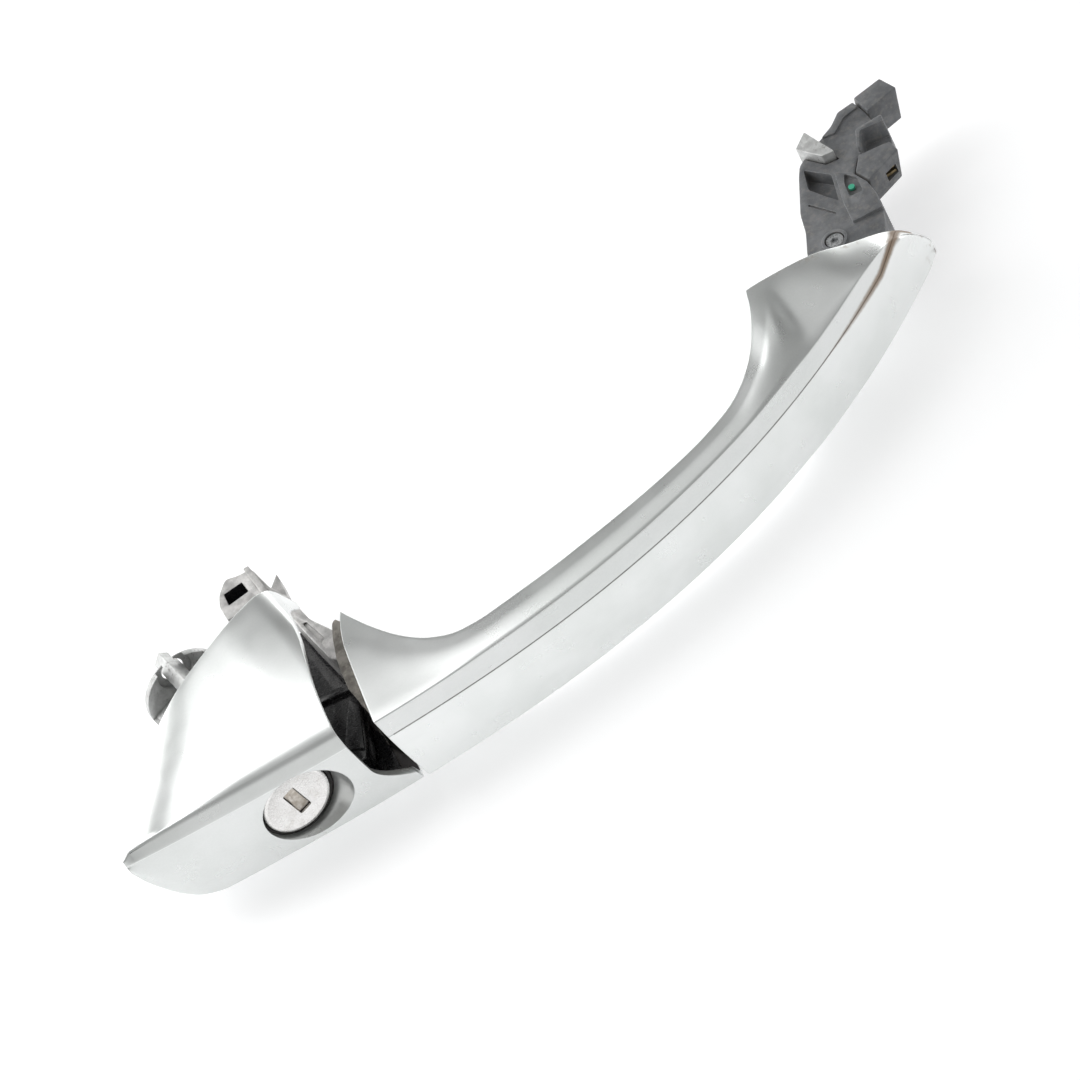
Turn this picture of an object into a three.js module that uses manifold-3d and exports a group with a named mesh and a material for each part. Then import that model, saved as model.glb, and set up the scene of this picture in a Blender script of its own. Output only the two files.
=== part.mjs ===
// Exterior pull-type car door handle: moving grip with front hinge foot and
// rear latch arm, plus the fixed rear cap that carries the lock cylinder.
// Units mm. +X runs forward to the hinge, +Y into the door, +Z up.
// Pieces are drawn with x counted from the lock's centre line and y = 0 on the door skin;
// addPiece then moves everything back by ORIGIN_X, so the origin lies on the front flange's seat.
import * as THREE from 'three';
import * as BufferGeometryUtils from 'three/addons/utils/BufferGeometryUtils.js';
import Module from 'manifold-3d';

const wasm = await Module();
wasm.setup();

// ---- driving dimensions -------------------------------------------------
// Outer face line in plan: cubic bow, y = a + b t + c t^2 + d t^3.
const BOW = { mid: 99, half: 110, a: -43.7, b: 9.4, c: 22.6, d: 5.0 };
const FACE_BULGE = 0.5;          // crown of the outer face between its edges
const LOW_EDGE_R = 4;            // rounding of the lower outer edge

// Grip levels along its length, [x, z] stations.
const GRIP_SEAM_Z = [[20, 6.4], [198, 6.2], [203, 7.4], [208, 12], [221.2, 12]];
const GRIP_EDGE_Z = [[20, 12.6], [192, 12], [205, 10.2], [212, 6.5], [217, 0.5], [221.2, -7]];
const GRIP_TOP_Z = [[20, 15.4], [46, 13.6], [145, 13.6], [158, 15.6], [170, 19.2], [180, 18],
  [190, 15.8], [200, 11.2], [209, 7], [215, 2.5], [219, -3], [221.2, -7]];
const GRIP_LOW_Z = [[20, -13.3], [195, -13.3], [208, -13], [216, -12.3], [221.2, -9.6]];
const GRIP_BOTTOM_Z = [[20, -15.4], [46, -13.8], [145, -13.8], [158, -15.6], [170, -19.2],
  [185, -18], [200, -15.6], [212, -13.4], [221.2, -9.8]];
const FINGER_Y = [[20, 30], [33, 9], [36.2, 1.5], [41, -12], [46, -21.8], [51, -27.8], [58, -32],
  [66, -33.2], [83, -33.4], [98, -32.8], [114, -31.6], [131, -29.2], [143, -26], [152, -21.8],
  [160, -15.2], [166, -7.6], [170.6, 1.5], [176, 14], [240, 14]];
const GRIP_START_X = 20;
const GRIP_TIP_X = 221.2;
const COVER_WALL = 2.2;          // outer cover thickness
const BODY_WALL = 2.3;
const SEAM_GAP = 0.35;
const SEAT_Y = 0;                // flat seat of the front flange
const ORIGIN_X = 173.5;          // rear land of that seat, distance from the lock's centre line
const FIT_GAP = 0.3;             // clearance round every piece let into another
const GRIP_END = { x: 28.4, slope: 0.17, lean: 0.18, flare: 2.6 };

// Cap levels along its length.
const CAP_TIP_X = -44.2;
const CAP_CREASE_Z = [[-44.2, 11.2], [-38, 11], [36, 10.9]];
const CAP_STRIP_Z = [[-44.2, 12.8], [-41, 14.4], [-30, 14.8], [36, 15.2]];
const CAP_LOW_Z = [[-44.2, 9.4], [-43, 4.5], [-40.3, -1.6], [-36.2, -8], [-32, -11.6], [-26, -13.2],
  [36, -13.3]];
const CAP_RIM_TOP_Z = [[-44.2, 9.8], [-42.6, 1], [-36.5, 5], [-27, 10.4], [-18, 15], [-8, 19],
  [3.7, 21], [13, 21.8], [20.7, 21.5], [25.3, 19.8], [27.4, 16.6], [29.2, 11.4], [31, 7.5], [36, 5]];
const CAP_RIM_LOW_Z = [[-44.2, 9.2], [-42.6, -4], [-36.5, -9.6], [-27, -13.6], [-18, -16.6],
  [-8, -19.4], [3.7, -21], [13, -21.2], [19, -20.4], [24, -18], [28, -13.6], [36, -9]];
const CAP_RIM_Y = [[-44.2, -25], [-43, -17], [-40.5, -8.5], [-36, -4], [-18, 1.3], [36, 17.5]];
const CAP_RIM_PLANE = { x: -18, y: 1.3, slope: 0.3 };
const CAP_WALL = 2.4;
const CAP_END = { x: 17.3, slope: 0.2, curve: 0.0008, y: -38, z: 15, lean: 0.17, drop: 0.09, round: 0.014 };
const SPLIT_GAP = 1.3;
const GAP_WEB = { x0: 16, x1: 30.2, y0: -32, y1: 18, top: -6.2 };

// Lock: built along +Y from its face centre, then turned in plan.
const LOCK_TURN = THREE.MathUtils.degToRad(4.6);
const LOCK_FACE_Y = -34.2;
const LOCK_FACE_R = 9.6;
const PLUG_R = 7.6;
const BORE_R = 7.95;
const BARREL_R = 10.6;
const KEY_SLOT = { long: 8.8, wide: 3.7, turn: THREE.MathUtils.degToRad(11) };
const TAIL_SIDE = 4.1;
const TAIL_END = 72;
const CRADLE = { r: 12, z: -8.4, back: 67.4, wall: 2.4, pocketR: 5.2, shelfTilt: 0.25 };
const SCOOP = { x: 1.2, z: 0.3, rx: 11.7, rz: 11 };

// Plan outlines [x, y] of the two pieces that reach into the door.
const ARM_HALF = 4.6;
const ARM_OUTLINE = [[38, -15.4], [31.5, -9], [27.4, -4.5], [27, 20], [25.2, 28.4], [13.6, 29.8],
  [14, 36], [15.8, 39.8], [19.6, 43.4], [22.6, 41.8], [26.8, 40.8], [27.6, 31], [30.6, 23], [31, -2],
  [34.6, -7], [38.9, -10.8]];
const FOOT_TOP = 5;
const FOOT_LOW = -7;
const FOOT_OUTLINE = [[187, -8.6], [189.6, 6], [191.8, 12.3], [195.8, 19.4], [198.4, 26.3], [205.6, 38.5],
  [207.8, 41.6], [212, 43.8], [217.1, 45.3], [221.3, 46.7], [225.5, 49.7], [231, 49.5], [231.2, 44],
  [230.6, 37], [227.6, 33], [220.6, 31.2], [216.4, 26.3], [217.4, 20], [216.8, 15], [215.3, 9.4],
  [214.1, 7.6], [211.4, 2.5], [206.4, -4.6]];
const FOOT_SCREW = { x: 199.6, y: 10 };
const SHELL_A = {
  outline: [[231.7, 42.6], [231.7, 50], [240.6, 50.3], [241.8, 43.5]], low: -4.4, top: 6, drift: -2,
};
const SHELL_B = {
  outline: [[218, 20.4], [217, 26], [221, 30.7], [229.4, 27.9], [229.4, 23.4]], low: -3, top: 6, drift: -2,
};
const HOOK_FINGER = [[209.6, 44.5], [214.8, 48.1], [216.6, 35.2], [213.3, 36.3]];
const HOOK_SHANK = [[208.8, 39.6], [212.4, 40.8], [213.6, 35.6], [210.6, 33.6]];

// ---- colours -------------------------------------------------------------
const PAINT = { color: 0xc9cccb, roughness: 0.3, metalness: 0.8 };
const DARK_PLASTIC = { color: 0x4a4c50, roughness: 0.62, metalness: 0 };
const BLACK_GLOSS = { color: 0x0b0b0d, roughness: 0.22, metalness: 0 };
const END_PLASTIC = { color: 0x6d6761, roughness: 0.8, metalness: 0 };
const DIE_CAST = { color: 0xa9abaa, roughness: 0.45, metalness: 0.9 };
const STEEL = { color: 0xc4c6c8, roughness: 0.28, metalness: 1 };
const FACE_STEEL = { color: 0xd6d4d1, roughness: 0.2, metalness: 1 };
const RUBBER = { color: 0x151517, roughness: 0.85, metalness: 0 };
const BOARD = { color: 0x1f5a3a, roughness: 0.5, metalness: 0 };
const POTTING = { color: 0x2a2b2e, roughness: 0.55, metalness: 0 };
const COPPER = { color: 0xc9a25a, roughness: 0.35, metalness: 1 };
const GREEN = { color: 0x2fae7c, roughness: 0.4, metalness: 0 };

// ---- small maths helpers -------------------------------------------------
const clamp = (v, lo, hi) => Math.min(hi, Math.max(lo, v));

// Smooth value through [x, value] stations (monotone cubic, no overshoot).
function along(stations, x) {
  const n = stations.length;
  if (x <= stations[0][0]) return stations[0][1];
  if (x >= stations[n - 1][0]) return stations[n - 1][1];
  let i = 0;
  while (x > stations[i + 1][0]) i += 1;
  const rise = (k) => (stations[k + 1][1] - stations[k][1]) / (stations[k + 1][0] - stations[k][0]);
  const slopeAt = (k) => {
    if (k === 0) return rise(0);
    if (k === n - 1) return rise(n - 2);
    const before = rise(k - 1);
    const after = rise(k);
    if (before * after <= 0) return 0;
    return (2 * before * after) / (before + after);
  };
  const [x0, v0] = stations[i];
  const [x1, v1] = stations[i + 1];
  const h = x1 - x0;
  const t = (x - x0) / h;
  const t2 = t * t;
  const t3 = t2 * t;
  return (2 * t3 - 3 * t2 + 1) * v0 + (t3 - 2 * t2 + t) * h * slopeAt(i)
    + (3 * t2 - 2 * t3) * v1 + (t3 - t2) * h * slopeAt(i + 1);
}

function bowY(x) {
  const t = (x - BOW.mid) / BOW.half;
  return BOW.a + BOW.b * t + BOW.c * t * t + BOW.d * t * t * t;
}

const slopeOf = (f, x) => (f(x + 0.2) - f(x - 0.2)) / 0.4;

function spread(a, b, count) {
  return Array.from({ length: count }, (_, i) => a + ((b - a) * i) / (count - 1));
}

// ---- solid helpers -------------------------------------------------------
// Closed solid through equal-count rings of points; ends are filled flat.
function loft(rings) {
  const n = rings[0].length;
  const positions = [];
  for (const ring of rings) {
    for (const p of ring) positions.push(p[0], p[1], p[2]);
  }
  const index = [];
  for (let r = 0; r < rings.length - 1; r += 1) {
    for (let i = 0; i < n; i += 1) {
      const a = r * n + i;
      const b = r * n + ((i + 1) % n);
      index.push(a, b, b + n, a, b + n, a + n);
    }
  }
  const flat = (ring) => {
    const spanOf = (k) => Math.max(...ring.map((p) => p[k])) - Math.min(...ring.map((p) => p[k]));
    const spans = [spanOf(0), spanOf(1), spanOf(2)];
    const drop = spans.indexOf(Math.min(...spans));
    const [u, v] = [0, 1, 2].filter((k) => k !== drop);
    return ring.map((p) => new THREE.Vector2(p[u], p[v]));
  };
  const last = (rings.length - 1) * n;
  const startFill = THREE.ShapeUtils.triangulateShape(flat(rings[0]), []);
  const endFill = THREE.ShapeUtils.triangulateShape(flat(rings[rings.length - 1]), []);
  const ringSense = (tri) => (tri[1] - tri[0]) * (tri[2] - tri[1]) * (tri[0] - tri[2]);
  for (const t of startFill) {
    index.push(...(ringSense(t) < 0 ? [t[0], t[2], t[1]] : [t[0], t[1], t[2]]));
  }
  for (const t of endFill) {
    const tri = ringSense(t) < 0 ? [t[0], t[1], t[2]] : [t[0], t[2], t[1]];
    index.push(...tri.map((k) => k + last));
  }
  const geometry = new THREE.BufferGeometry();
  geometry.setAttribute('position', new THREE.Float32BufferAttribute(positions, 3));
  geometry.setIndex(index);
  return outward(geometry);
}

function signedVolume(geometry) {
  const p = geometry.getAttribute('position');
  const idx = geometry.getIndex().array;
  const a = new THREE.Vector3();
  const b = new THREE.Vector3();
  const c = new THREE.Vector3();
  let sum = 0;
  for (let i = 0; i < idx.length; i += 3) {
    a.fromBufferAttribute(p, idx[i]);
    b.fromBufferAttribute(p, idx[i + 1]);
    c.fromBufferAttribute(p, idx[i + 2]);
    sum += a.dot(b.cross(c)) / 6;
  }
  return sum;
}

function outward(geometry) {
  if (signedVolume(geometry) > 0) return geometry;
  const idx = geometry.getIndex().array;
  for (let i = 0; i < idx.length; i += 3) {
    [idx[i + 1], idx[i + 2]] = [idx[i + 2], idx[i + 1]];
  }
  return geometry;
}

function welded(geometry) {
  const g = geometry.clone();
  g.deleteAttribute('normal');
  g.deleteAttribute('uv');
  return BufferGeometryUtils.mergeVertices(g, 1e-4);
}

function toSolid(geometry) {
  const g = outward(welded(geometry));
  const mesh = new wasm.Mesh({
    numProp: 3,
    vertProperties: new Float32Array(g.getAttribute('position').array),
    triVerts: new Uint32Array(g.getIndex().array),
  });
  return new wasm.Manifold(mesh);
}

function toGeometry(solid) {
  const mesh = solid.getMesh();
  const geometry = new THREE.BufferGeometry();
  geometry.setAttribute('position', new THREE.Float32BufferAttribute(mesh.vertProperties, 3));
  geometry.setIndex(Array.from(mesh.triVerts));
  return geometry;
}

function cut(base, ...tools) {
  return tools.reduce((solid, tool) => solid.subtract(toSolid(tool)), toSolid(base));
}

function join(first, ...rest) {
  return rest.reduce((solid, g) => solid.add(toSolid(g)), toSolid(first));
}

function box(x0, x1, y0, y1, z0, z1) {
  const g = new THREE.BoxGeometry(x1 - x0, y1 - y0, z1 - z0);
  g.translate((x0 + x1) / 2, (y0 + y1) / 2, (z0 + z1) / 2);
  return g;
}

// Round solid about Y from profile pairs [radius, y]; profile starts and ends on the axis.
function turned(profile, segments = 40) {
  return new THREE.LatheGeometry(profile.map(([r, y]) => new THREE.Vector2(r, y)), segments);
}

// Plan outline [x, y] given thickness from z0 to z1.
function slab(outline, z0, z1, bevel = 0) {
  const shape = new THREE.Shape(outline.map(([x, y]) => new THREE.Vector2(x, y)));
  const g = new THREE.ExtrudeGeometry(shape, {
    depth: z1 - z0 - 2 * bevel,
    bevelEnabled: bevel > 0,
    bevelThickness: bevel,
    bevelSize: bevel,
    bevelOffset: -bevel,
    bevelSegments: 1,
  });
  g.translate(0, 0, z0 + bevel);
  return g;
}

// Plan outline moved outwards (d > 0) by about d along its edge normals; outline runs either way.
function grown(outline, d) {
  const n = outline.length;
  const area = outline.reduce((sum, [x, y], i) => {
    const [nx, ny] = outline[(i + 1) % n];
    return sum + x * ny - nx * y;
  }, 0);
  const side = area > 0 ? 1 : -1;
  return outline.map(([x, y], i) => {
    const before = outline[(i + n - 1) % n];
    const after = outline[(i + 1) % n];
    const e0 = new THREE.Vector2(x - before[0], y - before[1]).normalize();
    const e1 = new THREE.Vector2(after[0] - x, after[1] - y).normalize();
    const n0 = new THREE.Vector2(e0.y, -e0.x);
    const n1 = new THREE.Vector2(e1.y, -e1.x);
    const m = n0.clone().add(n1).normalize();
    const reach = (side * d) / Math.max(0.35, m.dot(n0));
    return [x + m.x * reach, y + m.y * reach];
  });
}

// Solid on the far side (towards xFar) of a surface x = wall(y, z).
function wallTool(wall, xFar, yRange, zRange) {
  const rings = spread(zRange[0], zRange[1], 17).map((z) => {
    const ys = spread(yRange[0], yRange[1], 13);
    return [...ys.map((y) => [wall(y, z), y, z]), [xFar, yRange[1], z], [xFar, yRange[0], z]];
  });
  return loft(rings);
}

// ---- shared outlines of grip and cap --------------------------------------
const endLean = (y) => clamp(-y / 42, 0, 1);

function gripEndX(y, z) {
  const nearDoor = clamp((y + 16) / 16, 0, 1);
  return GRIP_END.x + GRIP_END.slope * (y + 42) - GRIP_END.lean * z * endLean(y)
    + GRIP_END.flare * nearDoor * nearDoor;
}

function capEndX(y, z) {
  const u = y - CAP_END.y;
  const low = Math.max(0, -z);
  const high = Math.max(0, Math.abs(z) - 8) * clamp((y + 25) / 40, 0, 1);
  const x = CAP_END.x + CAP_END.slope * u + CAP_END.curve * u * u - CAP_END.round * high * high
    - CAP_END.lean * (z - CAP_END.z) * endLean(y) + CAP_END.drop * low * low * endLean(y);
  return Math.min(x, gripEndX(y, z) - SPLIT_GAP);
}

// Lower outer edge rounded with a few points, returned from side to face.
function lowEdge(y, z, r) {
  return spread(0, Math.PI / 2, 4).map((a) => [y + r - r * Math.sin(a), z + r - r * Math.cos(a)]);
}

function gripSection(x, inset) {
  const face = bowY(x) + inset * Math.hypot(1, slopeOf(bowY, x));
  const finger = (q) => along(FINGER_Y, q);
  const steep = Math.min(3, Math.hypot(1, slopeOf(finger, x)));
  const back = finger(x) - inset * steep;
  const edge = along(GRIP_EDGE_Z, x) - inset;
  const seam = Math.min(along(GRIP_SEAM_Z, x), edge - 0.5);
  const top = along(GRIP_TOP_Z, x) - inset;
  const low = along(GRIP_LOW_Z, x) + inset;
  const bottom = along(GRIP_BOTTOM_Z, x) + inset;
  const depth = back - face;
  const r = Math.min(LOW_EDGE_R, (edge - low) * 0.3, depth * 0.3);
  const soften = Math.min(2.6, (top - bottom) * 0.2, depth * 0.25);
  const mid = (top + bottom) / 2;
  const points = [
    [face, seam],
    [face + Math.min(1, depth * 0.1), edge],
    [face + depth * 0.3, edge + (top - edge) * 0.55],
    [face + depth * 0.62, top],
    [back - soften, top - soften * 0.12],
    [back - soften * 0.3, top - soften * 0.55],
    [back, top - soften * 1.5],
    [back + 0.25 * soften, mid],
    [back, bottom + soften * 1.5],
    [back - soften * 0.3, bottom + soften * 0.55],
    [back - soften, bottom + soften * 0.12],
    [face + depth * 0.62, bottom],
    [face + depth * 0.62 - (depth * 0.62 - r) * 0.5, bottom + (low - bottom) * 0.5],
    ...lowEdge(face, low, r),
    [face - FACE_BULGE * 0.8, low + (seam - low) * 0.42],
    [face - FACE_BULGE, low + (seam - low) * 0.66],
  ];
  return points.map(([y, z]) => [x, y, z]);
}

const GRIP_STATIONS = [
  ...spread(GRIP_START_X, 34, 4), ...spread(36.5, 50, 8), 54, 58, 64, ...spread(72, 132, 7), 140, 147,
  ...spread(151.5, 171, 8), 176, 182, 188, 193.5, 198.5, 203, 207, 210.5, 213.5, 216, 218, 219.6,
  220.7, GRIP_TIP_X];

function gripSolid(inset, from = GRIP_START_X, to = GRIP_TIP_X) {
  const xs = GRIP_STATIONS.filter((x) => x >= from && x <= to);
  const seatTool = box(0, 300, SEAT_Y, 60, -60, 60);
  return cut(loft(xs.map((x) => gripSection(x, inset))), seatTool);
}

function capSection(x, inset) {
  const face = bowY(x) + inset * 1.05;
  const crease = along(CAP_CREASE_Z, x) - inset * 0.6;
  const strip = along(CAP_STRIP_Z, x) - inset;
  const low = along(CAP_LOW_Z, x) + inset;
  const rimY = along(CAP_RIM_Y, x) + (x > -40 ? 3 : 0);
  const rimTop = along(CAP_RIM_TOP_Z, x) - inset * 1.05;
  const rimLow = along(CAP_RIM_LOW_Z, x) + inset * 1.05;
  const depth = rimY - face;
  const r = Math.min(LOW_EDGE_R, Math.max(0.3, (crease - low) * 0.3), depth * 0.2);
  const swell = Math.min(1.6, (rimTop - rimLow) * 0.06);
  const side = (k, z0, z1, sign) => [face + depth * k, z0 + (z1 - z0) * k + sign * swell];
  const points = [
    [face, crease],
    [face + Math.min(2.2, depth * 0.12), strip],
    side(0.3, strip, rimTop, 1),
    side(0.55, strip, rimTop, 1.15),
    side(0.8, strip, rimTop, 0.8),
    [rimY, rimTop],
    [rimY, (rimTop + rimLow) / 2],
    [rimY, rimLow],
    side(0.8, low, rimLow, -0.8),
    side(0.55, low, rimLow, -1.15),
    side(0.3, low, rimLow, -1),
    ...lowEdge(face, low, r),
    [face - FACE_BULGE * 0.8, low + (crease - low) * 0.42],
    [face - FACE_BULGE, low + (crease - low) * 0.68],
  ];
  return points.map(([y, z]) => [x, y, z]);
}

function capSolid(inset, from) {
  const xs = [CAP_TIP_X, -43.6, -42.6, -41.2, -39.5, -37.5, -35, -32, -29, -25.5, -21, -16, -10, -4, 3,
    10, 16, 20.5, 24, 26.4, 28.2, 30, 32, 36].filter((x) => x >= from);
  return loft(xs.map((x) => capSection(x, inset)));
}

// Everything behind the flat, slightly inclined rim plane of the cap.
function rimTool(offset) {
  const rimLine = (x) => CAP_RIM_PLANE.y + CAP_RIM_PLANE.slope * (x - CAP_RIM_PLANE.x) + offset;
  return slab([[-60, rimLine(-60)], [60, rimLine(60)], [60, 80], [-60, 80]], -60, 60);
}

// ---- grip shells ----------------------------------------------------------
// Region that belongs to the outer cover, grown by `grow` for clearance.
function coverRegion(grow) {
  const rings = GRIP_STATIONS.map((x) => {
    const face = bowY(x);
    const slant = Math.hypot(1, slopeOf(bowY, x));
    const deep = face + (COVER_WALL + grow) * slant;
    const seam = along(GRIP_SEAM_Z, x) + grow;
    const low = along(GRIP_LOW_Z, x);
    return [
      [x, face - 9, seam],
      [x, deep, seam],
      [x, deep, low + 3.4],
      [x, deep + 2.6 * slant, low + 1.2],
      [x, deep + 2.6 * slant, low - 9],
      [x, face - 9, low - 9],
    ];
  });
  return loft(rings);
}

function electronicsPocket() {
  const xs = [62, 72, 82, 92, 102, 112, 122, 132, 138];
  return loft(xs.map((x) => {
    const near = bowY(x) + 0.5;
    const far = along(FINGER_Y, x) - BODY_WALL;
    return [[x, near, -7.4], [x, far, -7.4], [x, far, 4.6], [x, near, 4.6]];
  }));
}

function footPocket() {
  const xs = [177, 183, 189, 195, 201, 206, 210];
  return loft(xs.map((x) => {
    const near = bowY(x) + COVER_WALL * 2.6;
    const top = along(GRIP_TOP_Z, x) - BODY_WALL * 1.4;
    const low = along(GRIP_BOTTOM_Z, x) + BODY_WALL * 1.4;
    return [[x, near, low + 2], [x, 6, low], [x, 6, top], [x, near, top - 2]];
  }));
}

// How far the end insert stands proud of the painted shell, more towards the door.
const insertProud = (y, z) => (3.2 + 1.9 * clamp(-z / 8, 0, 1)) * clamp((y + 38) / 14, 0, 1);

function gripEndSlab(start, depth, inset) {
  const nearWall = (y, z) => gripEndX(y, z) + (start < 0 ? start : start - insertProud(y, z));
  const near = wallTool(nearWall, -20, [-70, 20], [-30, 30]);
  const far = wallTool((y, z) => gripEndX(y, z) + start + depth, 120, [-70, 20], [-30, 30]);
  return gripSolid(inset, GRIP_START_X, 64).subtract(toSolid(near)).subtract(toSolid(far));
}

function gripShells() {
  const endTool = wallTool(gripEndX, -20, [-70, 20], [-30, 30]);
  const whole = gripSolid(0).subtract(toSolid(endTool));
  const endPocket = gripEndSlab(-6, 10.5, 1.7);
  const cover = whole.intersect(toSolid(coverRegion(0))).subtract(endPocket);
  const body = whole.subtract(toSolid(coverRegion(SEAM_GAP)))
    .subtract(endPocket)
    .subtract(toSolid(electronicsPocket()))
    .subtract(toSolid(footPocket()));
  const armSocket = toSolid(slab(grown(ARM_OUTLINE, FIT_GAP), -ARM_HALF - FIT_GAP, ARM_HALF + FIT_GAP));
  const footSocket = toSolid(slab(grown(FOOT_OUTLINE, FIT_GAP), FOOT_LOW - FIT_GAP, FOOT_TOP + FIT_GAP));
  const insert = gripEndSlab(0.8, 3.3, 2.1).subtract(armSocket);
  return { cover, body: body.subtract(armSocket).subtract(footSocket), insert };
}

// ---- lock pieces, built in the lock's own frame (y from the face) ----------
const SLOT_X = KEY_SLOT.wide / 2;
const SLOT_Z = KEY_SLOT.long / 2;
const KEYWAY_DEPTH = 26;
const BARREL_START = 3.4;
const BARREL_END = 44;

function keyTurned(geometry) {
  geometry.rotateY(-KEY_SLOT.turn);
  return geometry;
}

function plugFace() {
  const disc = turned([[0, 0], [LOCK_FACE_R - 0.7, 0], [LOCK_FACE_R, 0.6], [LOCK_FACE_R, 2.6], [0, 2.6]], 64);
  return cut(disc, keyTurned(box(-SLOT_X, SLOT_X, -1, 4, -SLOT_Z, SLOT_Z)));
}

function plugBody() {
  const core = turned([[0, 2.8], [PLUG_R, 2.8], [PLUG_R, 42], [4.4, 42], [4.4, 48.6], [0, 48.6]], 40);
  const keyway = keyTurned(box(-SLOT_X - 0.3, SLOT_X + 0.3, 1, KEYWAY_DEPTH, -SLOT_Z - 0.3, SLOT_Z + 0.3));
  const clipGroove = cut(turned([[0, 45.4], [6, 45.4], [6, 46.6], [0, 46.6]], 40),
    turned([[0, 45], [3.6, 45], [3.6, 47], [0, 47]], 40));
  return cut(core, keyway).subtract(clipGroove);
}

function keyShutter() {
  const wide = KEY_SLOT.wide - 0.5;
  const long = KEY_SLOT.long - 0.5;
  const flap = box(-wide / 2, wide / 2, 0.9, 1.6, -long / 2, long / 2);
  const roll = new THREE.CylinderGeometry(0.45, 0.45, long, 12);
  roll.rotateX(Math.PI / 2);
  roll.translate(-wide / 2 + 0.45, 1.35, 0);
  return join(keyTurned(flap), keyTurned(roll));
}

function lockHousing() {
  const barrel = turned([[0, BARREL_START], [BARREL_R, BARREL_START], [BARREL_R, BARREL_END - 1],
    [BARREL_R - 1, BARREL_END], [0, BARREL_END]], 48);
  const bore = turned([[0, 0], [BORE_R, 0], [BORE_R, 42.3], [4.75, 42.3], [4.75, 60], [0, 60]], 40);
  const topRib = box(-2.2, 2.2, 8, 36, BARREL_R - 1.5, BARREL_R + 2);
  const lowRib = box(-2.2, 2.2, 8, 40, -BARREL_R - 2, -BARREL_R + 1.5);
  const ear = box(-16.4, -8, 30, 40, -6, 6);
  const screwHole = new THREE.CylinderGeometry(2.1, 2.1, 12, 20);
  screwHole.rotateZ(Math.PI / 2);
  screwHole.translate(-14, 35, 0);
  return join(barrel, topRib, lowRib, ear).add(tailCradle()).subtract(toSolid(bore))
    .subtract(toSolid(screwHole));
}

// Open trough behind the barrel, closed by a round rear wall that the tail bar passes through.
function tailCradle() {
  const round = (r, y0, y1, z) => {
    const g = turned([[0, y0], [r, y0], [r, y1], [0, y1]], 48);
    g.translate(0, 0, z);
    return g;
  };
  const rim = round(CRADLE.r, BARREL_END - 2, CRADLE.back, CRADLE.z);
  const trough = toSolid(round(CRADLE.r - CRADLE.wall, BARREL_END, CRADLE.back - CRADLE.wall, CRADLE.z))
    .add(toSolid(box(-20, 20, BARREL_END, CRADLE.back - CRADLE.wall, CRADLE.z, 20)));
  const pocket = round(CRADLE.pocketR, CRADLE.back - CRADLE.wall - 1, CRADLE.back - 0.9, 0);
  const barHole = round(TAIL_SIDE * Math.SQRT1_2 + 0.4, BARREL_END, 80, 0);
  const mouth = box(-1.8, 1.8, BARREL_END, 80, 0, 20);
  const shelf = box(-CRADLE.r + 1, 2, CRADLE.back - 5.5, CRADLE.back - 1, -0.6, 0.6);
  shelf.rotateY(-CRADLE.shelfTilt);
  shelf.translate(0, 0, CRADLE.z + 2.4);
  return cut(rim, box(-20, 20, 30, BARREL_END, -3, 20)).subtract(trough).add(toSolid(shelf))
    .subtract(toSolid(pocket)).subtract(toSolid(barHole)).subtract(toSolid(mouth));
}

function housingScrew() {
  const head = new THREE.CylinderGeometry(3.4, 3.4, 2, 24);
  head.rotateZ(Math.PI / 2);
  head.translate(-17.7, 35, 0);
  const shank = new THREE.CylinderGeometry(1.8, 1.8, 6, 16);
  shank.rotateZ(Math.PI / 2);
  shank.translate(-14, 35, 0);
  const socket = new THREE.CylinderGeometry(1.5, 1.5, 2.4, 6);
  socket.rotateZ(Math.PI / 2);
  socket.translate(-18.7, 35, 0);
  return join(head, shank).subtract(toSolid(socket));
}

function tailDriver() {
  const hub = turned([[0, 48.9], [5.6, 48.9], [5.6, 52], [4.6, 53], [0, 53]], 32);
  const bar = box(-TAIL_SIDE / 2, TAIL_SIDE / 2, 51, TAIL_END, -TAIL_SIDE / 2, TAIL_SIDE / 2);
  bar.rotateY(Math.PI / 4);
  const wings = box(-7.4, 7.4, 49.6, 52, -1.4, 1.4);
  return join(hub, bar, wings);
}

function retainingClip() {
  const ring = cut(turned([[0, 45.5], [6.1, 45.5], [6.1, 46.5], [0, 46.5]], 32),
    turned([[0, 45], [3.95, 45], [3.95, 47], [0, 47]], 32));
  return ring.subtract(toSolid(box(-2.2, 2.2, 44, 48, -8, -1)));
}

function sealRing() {
  return cut(turned([[0, 1.1], [11.2, 1.1], [11.2, 3.1], [0, 3.1]], 48),
    turned([[0, 0], [LOCK_FACE_R + 0.3, 0], [LOCK_FACE_R + 0.3, 4], [0, 4]], 48));
}

// ---- cap -------------------------------------------------------------------
function scoopTool() {
  const steps = 40;
  const ringAt = (y, cx, cz, rx, rz) => Array.from({ length: steps }, (_, i) => {
    const a = (2 * Math.PI * i) / steps;
    return [cx + rx * Math.cos(a), y, cz + rz * Math.sin(a)];
  });
  return loft([
    ringAt(LOCK_FACE_Y - 9, SCOOP.x + 0.8, SCOOP.z, SCOOP.rx + 1.2, SCOOP.rz + 0.8),
    ringAt(LOCK_FACE_Y - 4, SCOOP.x, SCOOP.z, SCOOP.rx, SCOOP.rz),
    ringAt(LOCK_FACE_Y + 1.2, 0.2, 0, 10.8, 10.8),
    ringAt(LOCK_FACE_Y + 2, 0, 0, 10.8, 10.8),
  ]);
}

function toLockPlace(geometry) {
  geometry.rotateZ(LOCK_TURN);
  geometry.translate(0, LOCK_FACE_Y, 0);
  return geometry;
}

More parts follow.
